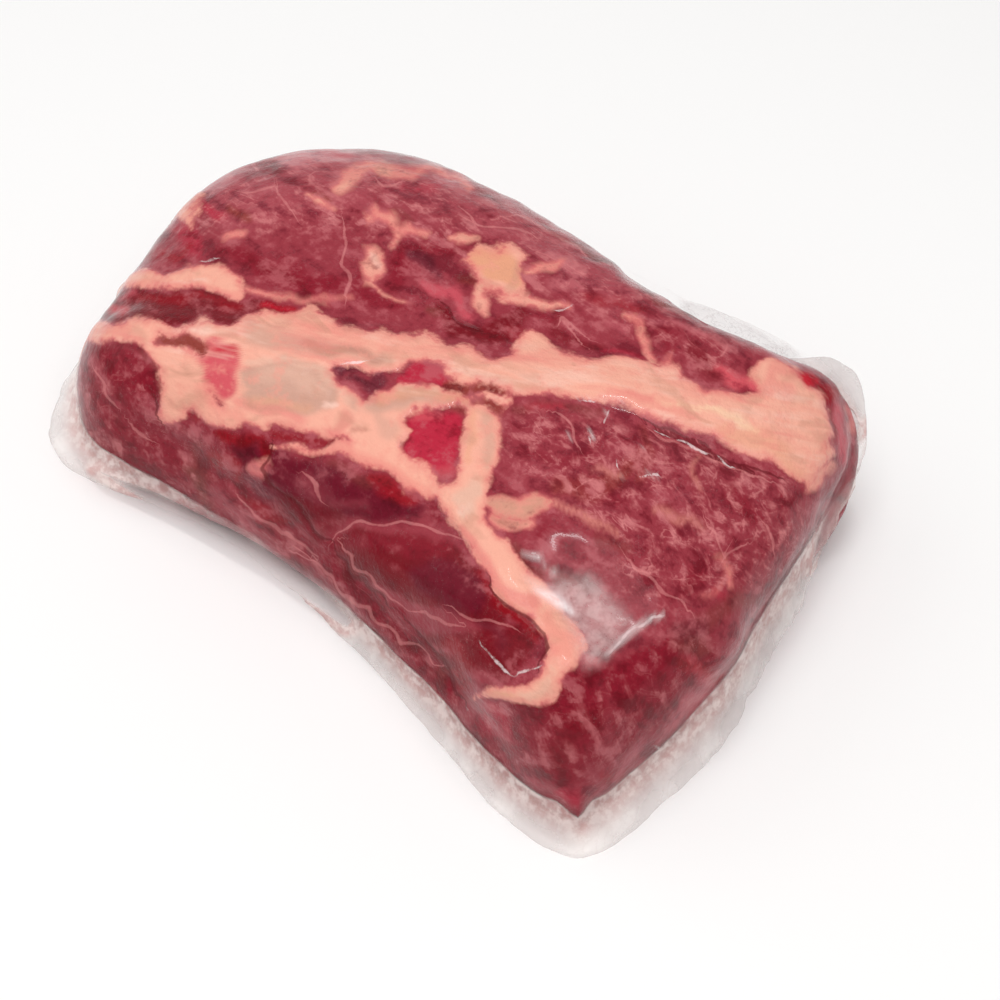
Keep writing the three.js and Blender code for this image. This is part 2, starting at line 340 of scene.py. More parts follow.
# Soft washes of muscle tone, the later ones over the earlier: tone, strength, softness and the line they
# lie on.
MUSCLE_WASHES = [
    ("rose", 0.35, 60, [(560, 440, 50), (700, 500, 60)]),
    # the upper marbled muscle
    ("rose", 0.7, 30, [(240, 200, 30), (320, 190, 30), (420, 190, 26), (520, 225, 26), (620, 290, 22)]),
    ("blush", 1.0, 12, [(285, 158, 8), (315, 158, 9), (350, 156, 5)]),
    ("blush", 0.6, 12, [(205, 185, 8), (235, 172, 5)]),
    ("ruby", 0.9, 8, [(248, 172, 3), (264, 170, 6), (278, 168, 3)]),
    ("lean", 1.0, 8, [(285, 180, 4), (310, 186, 9), (330, 190, 5)]),
    ("rust", 0.7, 6, [(314, 194, 3), (330, 200, 3)]),
    ("rust", 0.8, 8, [(228, 206, 4), (244, 212, 5)]),
    ("bright", 0.8, 8, [(205, 208, 5), (218, 214, 6)]),
    ("bright", 0.6, 10, [(176, 226, 6), (196, 246, 10)]),
    ("dusk", 0.8, 7, [(152, 240, 4), (164, 234, 4)]),
    ("crimson", 0.7, 8, [(148, 250, 4), (170, 254, 4), (188, 246, 3)]),
    ("lean", 0.8, 12, [(210, 236, 8), (215, 250, 5)]),
    ("ruby", 0.9, 12, [(226, 252, 4), (255, 262, 10), (280, 278, 12), (310, 284, 12), (340, 284, 8)]),
    ("wine", 0.5, 8, [(250, 256, 3), (270, 270, 4), (300, 284, 5)]),
    ("ruby", 0.8, 8, [(285, 258, 4), (298, 266, 5)]),
    ("lean", 0.7, 10, [(300, 240, 10), (335, 235, 8)]),
    ("ruby", 0.8, 8, [(362, 272, 3), (358, 290, 6), (372, 302, 9), (400, 306, 8)]),
    ("ruby", 0.7, 9, [(395, 258, 7), (390, 282, 8)]),
    ("lean", 0.9, 8, [(372, 232, 8), (385, 238, 6)]),
    ("bright", 0.5, 9, [(402, 186, 4), (424, 188, 6), (440, 184, 4)]),
    ("lean", 0.8, 9, [(378, 186, 6), (384, 200, 6), (410, 204, 5), (470, 218, 6)]),
    ("umber", 0.5, 6, [(398, 214, 3), (416, 220, 3)]),
    ("ruby", 0.8, 9, [(440, 232, 3), (452, 248, 4), (400, 252, 6), (400, 278, 8)]),
    ("dusk", 0.9, 8, [(412, 258, 7), (430, 264, 8), (438, 272, 4)]),
    ("wine", 0.5, 6, [(455, 250, 3), (465, 252, 3)]),
    ("pink", 0.95, 8, [(426, 286, 5), (440, 292, 9), (456, 296, 7), (470, 312, 5)]),
    ("rust", 0.7, 7, [(462, 280, 5), (474, 284, 4)]),
    ("wine", 1.0, 8, [(436, 312, 3), (455, 326, 8), (480, 335, 10), (508, 330, 12), (520, 312, 7)]),
    ("umber", 0.8, 6, [(424, 312, 3), (436, 318, 4)]),
    ("crimson", 0.5, 6, [(512, 330, 4), (520, 338, 4)]),
    ("ruby", 0.8, 6, [(440, 345, 2), (470, 350, 2), (495, 352, 1)]),
    ("wine", 0.7, 7, [(556, 316, 4), (552, 330, 6), (570, 345, 5), (595, 345, 5)]),
    ("ruby", 0.7, 8, [(535, 312, 4), (545, 322, 5)]),
    ("lean", 0.8, 8, [(575, 308, 4), (595, 318, 5)]),
    ("rose", 0.9, 8, [(610, 318, 6), (628, 330, 6)]),
    ("crimson", 0.55, 7, [(588, 292, 4), (612, 298, 5), (640, 308, 4)]),
    ("bright", 0.5, 6, [(600, 350, 3), (640, 356, 3)]),
    ("ruby", 0.8, 7, [(662, 330, 5), (672, 342, 6), (668, 355, 4)]),
    ("dusk", 0.6, 7, [(665, 312, 4), (700, 335, 5), (740, 352, 3)]),
    ("blush", 0.7, 7, [(648, 318, 2), (680, 328, 3), (700, 342, 2)]),
    ("wine", 0.7, 8, [(690, 350, 5), (705, 366, 6), (722, 374, 5)]),
    ("flush", 0.9, 9, [(726, 370, 5), (742, 381, 7), (754, 389, 6)]),
    ("blush", 0.6, 9, [(548, 250, 4), (565, 268, 8), (585, 282, 6), (555, 285, 6)]),
    ("umber", 0.9, 4, [(560, 232, 1), (590, 252, 2), (620, 272, 3), (650, 290, 3), (690, 318, 2)]),
    ("umber", 0.6, 4, [(330, 150, 1), (380, 153, 1), (440, 166, 1), (500, 196, 1), (560, 232, 1)]),
    # the dark stripe between the two bands of fat
    ("wine", 1.0, 4, [(40, 300, 16), (125, 304, 14), (180, 303, 14), (235, 311, 9), (290, 311, 3)]),
    ("crimson", 0.6, 7, [(140, 298, 4), (180, 296, 5), (240, 308, 4)]),
    ("scarlet", 0.8, 7, [(110, 306, 4), (122, 308, 5)]),
    ("scarlet", 0.8, 7, [(262, 310, 3), (290, 311, 2)]),
    ("pink", 0.6, 5, [(124, 296, 2), (134, 292, 3)]),
    # the left end's muscle and the strip that runs on from it along the lower edge
    ("ruby", 1.0, 5, [(40, 390, 45), (110, 390, 42), (120, 425, 40)]),
    ("ruby", 1.0, 10, [(130, 450, 42), (200, 470, 45), (260, 520, 32), (340, 590, 26), (440, 690, 26)]),
    ("rose", 0.5, 6, [(92, 360, 3), (105, 385, 4), (118, 408, 3)]),
    ("wine", 0.6, 6, [(100, 352, 3), (120, 345, 3), (140, 350, 4)]),
    ("umber", 0.6, 5, [(142, 352, 3), (152, 372, 3), (160, 398, 3)]),
    ("rose", 0.6, 6, [(140, 398, 4), (152, 410, 4)]),
    ("umber", 0.8, 6, [(186, 470, 4), (198, 480, 6), (204, 490, 4)]),
    ("umber", 0.5, 9, [(196, 450, 5), (205, 500, 9)]),
    ("wine", 0.5, 7, [(118, 450, 3), (140, 462, 3)]),
    ("rose", 0.5, 8, [(215, 490, 8), (245, 520, 7), (275, 545, 4)]),
    ("pink", 0.5, 5, [(228, 482, 2), (246, 500, 2), (266, 518, 2)]),
    ("crimson", 0.7, 6, [(250, 495, 2), (268, 510, 5), (285, 525, 3)]),
    ("wine", 0.7, 5, [(260, 548, 3), (290, 565, 4), (330, 592, 3)]),
    ("wine", 0.7, 5, [(385, 625, 3), (410, 645, 4), (430, 670, 4)]),
    ("crimson", 0.6, 7, [(455, 665, 6), (465, 682, 7)]),
    ("umber", 0.6, 6, [(440, 670, 5), (442, 685, 5)]),
    ("rose", 0.8, 6, [(400, 660, 3), (420, 690, 5), (445, 718, 6)]),
    # the dark, smooth lobes of the front
    ("plum", 1.0, 12, [(245, 455, 12), (300, 490, 30), (370, 500, 22), (415, 510, 8)]),
    ("wine", 0.7, 12, [(290, 510, 16), (330, 520, 12), (320, 540, 6)]),
    ("wine", 1.0, 8, [(360, 555, 24), (420, 570, 34), (470, 590, 26), (495, 610, 16)]),
    ("plum", 0.9, 12, [(430, 575, 18), (470, 590, 20), (450, 602, 12)]),
    ("wine", 1.0, 8, [(430, 640, 10), (470, 650, 22), (515, 645, 18), (500, 668, 10)]),
    ("crimson", 0.5, 8, [(450, 640, 8), (468, 665, 8)]),
    ("dusk", 0.5, 8, [(480, 620, 6), (500, 630, 6), (505, 650, 5)]),
    ("ruby", 0.7, 12, [(350, 545, 8), (400, 545, 10), (440, 548, 8)]),
    ("umber", 0.5, 9, [(335, 465, 6), (365, 480, 8)]),
    # a painted sheen: a paler soft streak across the dark lobes
    ("rose", 0.3, 10, [(300, 478, 6), (330, 505, 5), (370, 505, 5)]),
    ("berry", 0.9, 7, [(218, 434, 6), (228, 438, 7), (250, 440, 3)]),
    ("crimson", 0.8, 7, [(215, 462, 6), (232, 462, 7), (236, 474, 4)]),
    ("berry", 0.85, 7, [(256, 440, 4), (262, 452, 5)]),
    ("berry", 0.8, 6, [(272, 437, 4), (290, 440, 5), (318, 440, 3), (345, 441, 1)]),
    ("crimson", 0.9, 9, [(372, 478, 5), (392, 488, 8), (412, 495, 5)]),
    ("ruby", 0.8, 5, [(432, 504, 4), (436, 520, 3)]),
    ("berry", 0.8, 7, [(500, 600, 4), (520, 618, 5), (538, 634, 3)]),
    ("crimson", 0.7, 7, [(482, 570, 4), (498, 592, 4)]),
    ("berry", 0.6, 5, [(186, 410, 3), (196, 418, 4)]),
    ("lean", 0.8, 8, [(178, 436, 6), (195, 432, 6)]),
    # the muscle that shows inside the fat
    ("rust", 1.0, 6, [(158, 333, 8), (180, 337, 9), (208, 354, 9)]),
    ("dusk", 1.0, 6, [(338, 372, 6), (372, 378, 12)]),
    ("lean", 0.7, 6, [(350, 378, 3), (366, 374, 4)]),
    ("bright", 0.9, 6, [(400, 378, 6), (425, 374, 12), (445, 380, 8)]),
    ("rust", 0.9, 6, [(456, 386, 8), (500, 390, 6)]),
    ("rust", 0.8, 6, [(476, 405, 6), (500, 413, 6)]),
    ("bright", 1.0, 8, [(418, 430, 16), (435, 450, 22), (450, 430, 16)]),
    ("flush", 0.6, 6, [(412, 416, 4), (425, 418, 6), (436, 420, 4)]),
    ("rust", 0.55, 6, [(450, 408, 4), (464, 410, 5)]),
    ("flush", 0.5, 8, [(440, 474, 6), (452, 468, 5)]),
    # the large marbled muscle of the right
    ("lean", 1.0, 12, [(525, 430, 22), (640, 470, 42), (720, 520, 60), (650, 560, 50), (560, 540, 25)]),
    ("umber", 0.6, 7, [(515, 410, 5), (545, 405, 5), (600, 412, 4)]),
    ("bright", 0.5, 7, [(530, 406, 3), (560, 408, 4)]),
    ("ruby", 0.5, 10, [(520, 450, 5), (560, 465, 6), (600, 440, 5)]),
    ("rust", 0.6, 10, [(560, 488, 8), (600, 492, 9), (640, 455, 6)]),
    ("ruby", 0.5, 9, [(560, 480, 3), (620, 500, 8)]),
    ("ruby", 0.7, 9, [(545, 535, 10), (575, 545, 14), (600, 560, 8)]),
    ("umber", 0.5, 9, [(600, 540, 8), (625, 545, 6)]),
    ("umber", 0.7, 7, [(515, 550, 5), (540, 572, 8), (565, 582, 8), (585, 578, 5)]),
    ("ruby", 0.6, 9, [(735, 500, 10), (760, 520, 8)]),
    ("ruby", 0.7, 8, [(785, 500, 7), (800, 495, 5)]),
    ("rose", 0.5, 10, [(660, 500, 8), (690, 505, 6)]),
    ("ruby", 0.5, 10, [(640, 590, 10), (620, 575, 8)]),
    ("ruby", 0.6, 9, [(700, 560, 6), (690, 590, 8)]),
    ("bright", 0.4, 7, [(712, 590, 5), (724, 596, 5)]),
    ("wine", 0.8, 12, [(830, 500, 4), (815, 540, 6), (790, 575, 9), (760, 605, 8)]),
    ("umber", 0.6, 12, [(745, 600, 8), (700, 625, 10)]),
    ("wine", 0.7, 9, [(560, 580, 3), (600, 590, 2)]),
    # the right end round the knob of fat
    ("scarlet", 1.0, 6, [(798, 380, 3), (806, 384, 6), (818, 384, 3)]),
    ("crimson", 0.9, 5, [(822, 390, 4), (836, 400, 5)]),
    ("pink", 0.9, 6, [(840, 412, 4), (843, 440, 5), (838, 460, 5)]),
    ("coral", 0.7, 5, [(850, 414, 3), (854, 428, 3)]),
    ("umber", 0.7, 5, [(834, 412, 2), (837, 435, 2)]),
    ("ruby", 0.9, 6, [(858, 440, 5), (852, 455, 4)]),
    ("ruby", 0.8, 7, [(840, 480, 6), (832, 492, 6)]),
    ("rust", 0.5, 5, [(828, 472, 3), (822, 485, 3)]),
    # the cut end's muscle below the ridge
    ("ruby", 1.0, 9, [(500, 735, 30), (560, 735, 50), (620, 700, 45), (690, 655, 28)]),
    ("lean", 0.8, 8, [(600, 660, 8), (640, 640, 8), (660, 640, 5)]),
    ("bright", 0.5, 9, [(485, 715, 10), (500, 730, 12)]),
    ("wine", 0.5, 10, [(560, 725, 10), (600, 720, 14), (560, 755, 12)]),
    ("lean", 0.6, 8, [(600, 685, 5), (612, 720, 5), (605, 750, 6)]),
    ("umber", 0.6, 9, [(680, 635, 12), (700, 645, 12)]),
    ("crimson", 0.9, 7, [(680, 664, 4), (700, 674, 5), (722, 678, 5)]),
    ("ruby", 0.6, 6, [(715, 660, 4), (724, 655, 3)]),
    ("crimson", 0.7, 6, [(600, 778, 3), (620, 776, 5)]),
    ("bright", 0.6, 7, [(560, 790, 6), (572, 802, 6)]),
    ("rose", 0.8, 6, [(640, 745, 4), (610, 785, 4), (590, 795, 4)]),
    ("rose", 0.5, 8, [(520, 770, 6), (545, 785, 6)]),
    ("flush", 0.6, 7, [(566, 660, 2), (585, 662, 5), (600, 658, 3)]),
    # vague smears of fat in the large muscle of the right, and the redder places by its edges
    ("salmon", 0.55, 7, [(560, 507, 2), (580, 514, 4), (600, 521, 3), (622, 531, 2)]),
    ("salmon", 0.45, 7, [(652, 512, 3), (670, 515, 4), (690, 520, 3), (705, 526, 2)]),
    ("salmon", 0.40, 6, [(588, 472, 2), (602, 472, 3), (616, 474, 2)]),
    ("salmon", 0.40, 6, [(696, 456, 2), (694, 470, 3), (697, 487, 3), (703, 493, 2)]),
    ("rust", 0.45, 9, [(640, 430, 4), (655, 455, 6), (640, 480, 5)]),
    ("berry", 0.9, 8, [(500, 600, 4), (520, 618, 6), (536, 640, 5)]),
    ("pink", 0.5, 10, [(690, 660, 6), (712, 690, 8), (670, 730, 6)]),
    ("coral", 0.45, 8, [(700, 600, 3), (722, 585, 4), (730, 570, 3)]),
    ("dusk", 0.6, 10, [(676, 632, 8), (700, 628, 8)]),
    ("crimson", 0.7, 8, [(682, 660, 4), (705, 672, 5)]),
]
# Washes of fat tone.
FAT_WASHES = [
    ("salmon", 0.5, 8, [(380, 340, 6), (470, 358, 6), (560, 360, 5), (650, 370, 6), (700, 388, 5)]),
    ("peach", 0.8, 8, [(450, 360, 4), (500, 370, 7), (560, 378, 7), (620, 380, 8), (660, 390, 6)]),
    ("sand", 0.5, 6, [(470, 375, 3), (520, 385, 4), (560, 388, 3)]),
    ("coral", 0.5, 8, [(600, 396, 4), (650, 402, 5), (690, 415, 4)]),
    ("straw", 0.9, 5, [(655, 402, 2), (700, 407, 4), (735, 418, 4), (762, 432, 2)]),
    ("coral", 0.5, 5, [(680, 372, 3), (720, 390, 4), (745, 402, 3)]),
    ("tan", 0.45, 10, [(720, 428, 6), (770, 440, 9), (800, 470, 8)]),
    ("peach", 0.5, 12, [(800, 430, 18), (805, 455, 12)]),
    ("coral", 0.5, 8, [(790, 380, 5), (770, 372, 5), (760, 390, 6), (785, 395, 8)]),
    ("peach", 0.9, 5, [(758, 402, 4), (775, 410, 5), (783, 414, 3)]),
    ("sand", 0.4, 7, [(790, 402, 4), (812, 400, 4)]),
    ("peach", 0.7, 5, [(110, 328, 3), (160, 322, 2), (210, 330, 6)]),
    ("pearl", 0.6, 6, [(175, 322, 2), (205, 332, 5)]),
    ("sand", 0.4, 6, [(130, 330, 4), (145, 340, 3)]),
    ("coral", 0.5, 8, [(215, 342, 5), (250, 330, 5)]),
    ("salmon", 0.8, 8, [(290, 322, 5), (330, 326, 5), (360, 333, 4)]),
    ("beige", 0.8, 12, [(250, 338, 8), (310, 346, 8), (350, 352, 8), (385, 356, 5)]),
    ("rust", 0.30, 10, [(310, 345, 5), (345, 351, 7), (375, 354, 5)]),
    ("beige", 0.85, 10, [(355, 401, 7), (395, 398, 8), (440, 402, 8), (470, 402, 7)]),
    ("rust", 0.25, 8, [(380, 394, 5), (430, 398, 4), (470, 400, 5)]),
    ("sand", 0.6, 6, [(312, 345, 4), (345, 352, 4)]),
    ("beige", 1.0, 9, [(258, 376, 12), (290, 378, 21), (322, 390, 20), (300, 402, 14), (258, 396, 12)]),
    ("cream", 0.5, 12, [(265, 372, 6), (300, 376, 8), (325, 390, 6)]),
    ("tan", 0.5, 10, [(256, 398, 5), (280, 404, 6), (305, 408, 4)]),
    ("cream", 0.7, 5, [(252, 360, 3), (290, 362, 3), (325, 373, 3), (343, 392, 2), (348, 402, 2)]),
    # a painted highlight: a small white glint on the fat
    ("pearl", 0.8, 4, [(325, 405, 3), (335, 405, 3)]),
    ("peach", 0.6, 9, [(165, 360, 5), (175, 380, 8), (178, 400, 6)]),
    ("sand", 0.5, 7, [(182, 370, 6), (190, 375, 4)]),
    ("scarlet", 0.5, 7, [(210, 352, 3), (234, 353, 4)]),
    ("flush", 1.0, 8, [(213, 354, 14), (224, 366, 18), (224, 383, 15)]),
    ("scarlet", 0.6, 8, [(214, 353, 4), (235, 356, 5)]),
    ("salmon", 0.7, 9, [(205, 395, 8), (215, 410, 6), (240, 415, 6)]),
    ("coral", 0.6, 8, [(240, 400, 5), (270, 412, 6), (300, 420, 6)]),
    ("sand", 0.5, 6, [(250, 402, 5), (262, 408, 4)]),
    ("peach", 0.7, 8, [(360, 400, 4), (372, 440, 8), (395, 455, 6)]),
    ("beige", 0.5, 9, [(380, 405, 6), (390, 430, 7)]),
    ("coral", 0.6, 8, [(345, 420, 8), (330, 440, 4), (350, 447, 3)]),
    ("rust", 0.35, 4, [(356, 430, 4), (366, 428, 3)]),
    ("salmon", 0.9, 6, [(300, 448, 3), (345, 450, 4), (380, 460, 5), (410, 480, 6), (430, 492, 6)]),
    ("tan", 0.6, 8, [(385, 392, 6), (430, 396, 5), (470, 398, 5)]),
    ("sand", 0.6, 7, [(395, 388, 3), (420, 392, 3), (440, 398, 3)]),
    ("tan", 0.5, 6, [(473, 415, 4), (474, 440, 4), (470, 460, 4)]),
    ("beige", 0.6, 8, [(488, 425, 7), (490, 450, 7), (488, 468, 6)]),
    ("cream", 0.9, 7, [(475, 488, 8), (462, 500, 9), (465, 514, 8)]),
    ("pearl", 0.6, 4, [(458, 512, 3), (466, 508, 3)]),
    ("salmon", 0.6, 4, [(442, 505, 3), (450, 520, 3)]),
    ("peach", 0.7, 6, [(475, 530, 4), (495, 550, 5), (515, 570, 4)]),
    ("coral", 0.7, 6, [(460, 532, 4), (478, 550, 3), (510, 590, 6), (530, 605, 5)]),
    ("salmon", 0.9, 8, [(545, 615, 5), (562, 640, 9), (560, 665, 7)]),
    ("cream", 0.6, 6, [(556, 668, 3), (545, 690, 4), (520, 694, 4)]),
    ("tan", 0.5, 5, [(485, 692, 3), (510, 693, 4)]),
    ("coral", 0.5, 6, [(572, 640, 3), (576, 655, 3)]),
    ("cream", 0.9, 6, [(560, 602, 6), (572, 618, 5)]),
    ("peach", 0.6, 8, [(130, 276, 4), (160, 278, 4), (215, 276, 8), (232, 288, 6)]),
    ("pearl", 0.5, 3, [(165, 281, 1.5), (205, 282, 1.5)]),
    ("salmon", 0.6, 4, [(130, 282, 3), (180, 284, 3), (235, 295, 4)]),
    ("coral", 0.5, 6, [(140, 270, 3), (185, 267, 4)]),
    ("tan", 1.0, 8, [(475, 262, 10), (500, 265, 14), (515, 275, 12)]),
    ("sand", 0.5, 6, [(505, 288, 6), (520, 270, 5)]),
    ("sand", 0.8, 8, [(500, 508, 14), (545, 508, 12)]),
    ("rust", 0.5, 8, [(498, 518, 6), (515, 528, 6)]),
    ("coral", 0.6, 10, [(570, 511, 8), (700, 524, 8)]),
    ("coral", 0.6, 7, [(345, 176, 7), (370, 168, 4)]),
    ("coral", 0.8, 7, [(395, 166, 6), (430, 170, 6), (468, 185, 5)]),
    ("pearl", 0.6, 4, [(370, 255, 4), (374, 262, 4)]),
    ("coral", 0.7, 6, [(378, 214, 5), (398, 232, 5), (415, 230, 6)]),
    ("coral", 0.7, 6, [(540, 268, 6), (560, 262, 6)]),
    ("coral", 0.7, 6, [(250, 294, 6), (350, 299, 6)]),
    ("coral", 0.7, 8, [(640, 322, 6), (650, 350, 6), (664, 358, 6)]),
    ("flush", 0.5, 6, [(232, 238, 6), (240, 231, 6)]),
    ("sand", 0.6, 8, [(172, 208, 8), (190, 205, 8)]),
    ("coral", 0.8, 8, [(696, 456, 8), (703, 493, 8)]),
    ("coral", 0.8, 8, [(716, 557, 8), (735, 588, 8)]),
    ("blush", 0.9, 8, [(250, 462, 8), (264, 470, 8)]),
]


def line_gap(place, line):
    """The distance in pixels from each place to a line, negative inside it. Its points are (across, down,
    half-width)."""
    gap = np.full(len(place), 1e6)
    for (u0, v0, w0), (u1, v1, w1) in zip(line, line[1:]):
        start = np.array((u0, v0))
        run = np.array((u1, v1)) - start
        share = np.clip((place - start) @ run / (run @ run), 0, 1)
        apart = np.linalg.norm(place - start - share[:, None] * run, axis=1)
        gap = np.minimum(gap, apart - w0 - share * (w1 - w0))
    return gap


def outline_gap(place, outline):
    """The distance in pixels from each place to a closed outline, negative inside it."""
    gap = np.full(len(place), 1e6)
    inside = np.zeros(len(place), bool)
    for (u0, v0), (u1, v1) in zip(outline, outline[1:] + outline[:1]):
        start = np.array((u0, v0), float)
        run = np.array((u1, v1)) - start
        share = np.clip((place - start) @ run / (run @ run), 0, 1)
        gap = np.minimum(gap, np.linalg.norm(place - start - share[:, None] * run, axis=1))
        if v0 != v1:
            crosses = (v0 > place[:, 1]) != (v1 > place[:, 1])
            inside ^= crosses & (place[:, 0] < u0 + (place[:, 1] - v0) * (u1 - u0) / (v1 - v0))
    return np.where(inside, -gap, gap)


SHEEN = 0.031  # what the film's and the wet surface's reflection of the pale room adds to a tone
LEAST_LEFT = 0.25  # share of a tone that's left without it, at the least


def linear(tone):
    """A tone of 0 to 255 as Blender's linear colour."""
    share = np.array(tone) / 255
    return np.where(share <= 0.04045, share / 12.92, ((share + 0.055) / 1.055) ** 2.4)


def flesh(name):
    """A tone of the beef under the film, as the linear colour of the beef itself."""
    tone = linear(TONES[name])
    return np.maximum(tone - SHEEN, LEAST_LEFT * tone)


def washed(place, ground, washes):
    """The colour at each place, with soft washes laid one over another."""
    colour = np.tile(flesh(ground), (len(place), 1))
    for tone, strength, softness, line in washes:
        reach = max(w for _, _, w in line) + softness
        low = np.min(line, axis=0)[:2] - reach
        high = np.max(line, axis=0)[:2] + reach
        near = np.flatnonzero(np.all((place > low) & (place < high), axis=1))
        share = np.clip(0.5 - line_gap(place[near], line) / softness, 0, 1)
        share = (strength * share * share * (3 - 2 * share))[:, None]
        colour[near] += (flesh(tone) - colour[near]) * share
    return colour


def fat_gap_at(place):
    """The distance from each place to the nearest edge of the fat, negative inside it."""
    gap = np.min([outline_gap(place, outline) for outline in FAT_OUTLINES.values()], axis=0)
    for line in MUSCLE_IN_FAT:
        gap = np.maximum(gap, -line_gap(place, line))
    return gap


# Thin lines: the slits between muscles, painted dark as their shade over the groove that the beef sinks into
# there, and the pale veins and silverskin, with a few painted highlight lines among them. Each is its points
# in the view.
SEAMS = [
    [(640, 416), (655, 422), (675, 431), (700, 443), (720, 453), (740, 462), (760, 470), (780, 479)],
    [(646, 424), (668, 434), (690, 444), (712, 455), (734, 465), (752, 473)],
    [(268, 446), (262, 465), (275, 485), (300, 512), (318, 535), (332, 548)],
    [(334, 552), (352, 572), (372, 592), (392, 612)],
    [(400, 620), (425, 640), (440, 655), (455, 690), (462, 705)],
    [(490, 575), (500, 592), (520, 612), (545, 634), (550, 650), (542, 664)],
    [(150, 398), (158, 408), (163, 420)],
    [(440, 306), (455, 318), (480, 330)],
]
VEINS_AND_HIGHLIGHTS = [
    [(275, 184), (278, 195), (283, 205), (290, 215), (296, 223)],
    [(243, 186), (260, 189), (276, 187)],
    [(340, 224), (341, 240), (347, 256), (350, 272), (351, 288), (350, 300)],
    [
        (332, 548), (338, 536), (350, 528), (365, 524), (385, 522), (405, 522), (425, 526), (445, 534),
        (468, 546),
    ],
    [(337, 545), (350, 560), (365, 575), (378, 590), (392, 604), (402, 611)],
    [(400, 611), (420, 611), (432, 617), (445, 622), (458, 622)],
    [(450, 610), (470, 616), (490, 617), (506, 622), (518, 634)],
    [(620, 552), (633, 565), (650, 578), (665, 590), (680, 600), (688, 613)],
    [(708, 518), (716, 532), (722, 546), (726, 560)],
    [(742, 548), (733, 558), (724, 562)],
    [(764, 522), (771, 535), (776, 548)],
    [(240, 492), (262, 514), (285, 533), (308, 548), (322, 562)],
    [(300, 556), (330, 574), (356, 600), (380, 622), (410, 642), (440, 664)],
    [(96, 372), (106, 390), (113, 404)],
    [(128, 420), (140, 432), (152, 445)],
    [(460, 205), (480, 220), (505, 228), (530, 236)],
    [(505, 214), (530, 219), (560, 232), (590, 256)],
    [(590, 336), (560, 320), (585, 345)],
    [(400, 176), (384, 184), (376, 180)],
    # painted highlights: the pale line of light beside the slit, and the arc of light on the right muscle's
    # edge, drawn with the veins
    [(650, 431), (668, 439), (690, 449), (712, 460), (740, 471), (772, 483)],
    [(552, 415), (563, 422), (571, 433), (577, 446)],
    [(300, 474), (315, 486), (322, 500)],
]
# Areas of the muscles that more than one grain shares.
UPPER_MUSCLE = [(200, 200, 35), (330, 190, 42), (460, 220, 32), (600, 290, 26), (720, 360, 15)]
RIGHT_MUSCLE = [(530, 440, 30), (650, 490, 60), (730, 520, 70), (660, 570, 40)]
CUT_END = [(500, 735, 40), (600, 720, 50), (690, 660, 30)]
LEFT_END = [(110, 400, 45), (180, 470, 34)]
LOWER_EDGE = [(240, 520, 22), (340, 595, 20), (440, 690, 24)]
FRONT_LOBES = [(300, 490, 25), (400, 560, 35), (480, 640, 30)]
FRONT_ROUND = [(300, 490, 30), (400, 560, 38), (480, 640, 32)]
DARK_STRIPE = [(120, 303, 14), (250, 310, 8)]
# How much the muscles show pale flecks, dark gaps and unevenness, and where their fibres run steeply or are
# short: soft areas of strength, softness and line.
GRAIN = {
    "flecks": [
        (0.8, 30, UPPER_MUSCLE),
        (0.95, 26, RIGHT_MUSCLE),
        (0.3, 20, CUT_END),
        (0.4, 20, LEFT_END),
        (0.25, 14, LOWER_EDGE),
        (0.04, 15, FRONT_LOBES),
        (0.15, 10, DARK_STRIPE),
    ],
    "gaps": [
        (0.7, 30, UPPER_MUSCLE),
        (0.7, 26, RIGHT_MUSCLE),
        (0.6, 20, CUT_END),
        (0.7, 20, LEFT_END),
        (0.8, 14, LOWER_EDGE),
        (0.15, 15, FRONT_LOBES),
    ],
    "uneven": [
        (1.0, 1, [(0, 0, 2000), (1, 1, 2000)]),
        (0.5, 20, FRONT_ROUND),
        (0.7, 10, DARK_STRIPE),
    ],
    "steep": [
        (1.0, 24, [(110, 360, 30), (115, 420, 40)]),
        (0.4, 20, [(160, 455, 20), (175, 465, 20)]),
        (1.0, 30, [(500, 750, 40), (600, 730, 50), (700, 660, 20)]),
    ],
    # where the fat runs in threads along the band, and where its streaks are faint
    "banded": [
        (1.0, 20, [(100, 330, 20), (300, 350, 30), (500, 375, 30), (700, 410, 34), (820, 440, 40)]),
        (0.2, 12, [(262, 375, 10), (290, 380, 18), (320, 388, 16)]),
    ],
    "faint": [
        (0.5, 20, [(600, 480, 30), (650, 500, 40), (730, 520, 50)]),
        (0.4, 20, [(300, 298, 6), (350, 298, 6)]),
    ],
    # where the film lies slack enough that the wet gloss is weak
    "dull": [
        (0.4, 30, FRONT_ROUND),
        (0.8, 30, [(250, 455, 14), (300, 505, 18), (350, 560, 20), (400, 615, 20), (455, 690, 18)]),
    ],
    "short": [
        (1.0, 26, RIGHT_MUSCLE),
        (0.5, 26, [(250, 200, 30), (350, 230, 30)]),
    ],
}

LINE_TAPER = 2.2  # pixels by which a line is thinner at its ends


def nearest_thread(place, threads, reach=14):
    """The signed distance in pixels to the nearest of the thin lines, and how surely one is near.

    The sign changes from one side of a line to the other, so the line stays sharp between two vertices."""
    least = np.full(len(place), 1e3)
    signed = np.full(len(place), 1e3)
    for thread in threads:
        low = np.min(thread, axis=0) - reach
        high = np.max(thread, axis=0) + reach
        near = np.flatnonzero(np.all((place > low) & (place < high), axis=1))
        for number, ((u0, v0), (u1, v1)) in enumerate(zip(thread, thread[1:])):
            start = np.array((u0, v0), float)
            run = np.array((u1, v1)) - start
            out = place[near] - start
            share = np.clip(out @ run / (run @ run), 0, 1)
            apart = np.linalg.norm(out - share[:, None] * run, axis=1)
            side = np.sign(run[0] * out[:, 1] - run[1] * out[:, 0])
            gone = (number + share) / (len(thread) - 1)
            apart = apart + LINE_TAPER * (2 * gone - 1) ** 4
            closer = apart < least[near]
            least[near] = np.where(closer, apart, least[near])
            signed[near] = np.where(closer, np.where(side == 0, 1, side) * apart, signed[near])
    return signed, np.clip((reach - least) / (reach / 2), 0, 1)


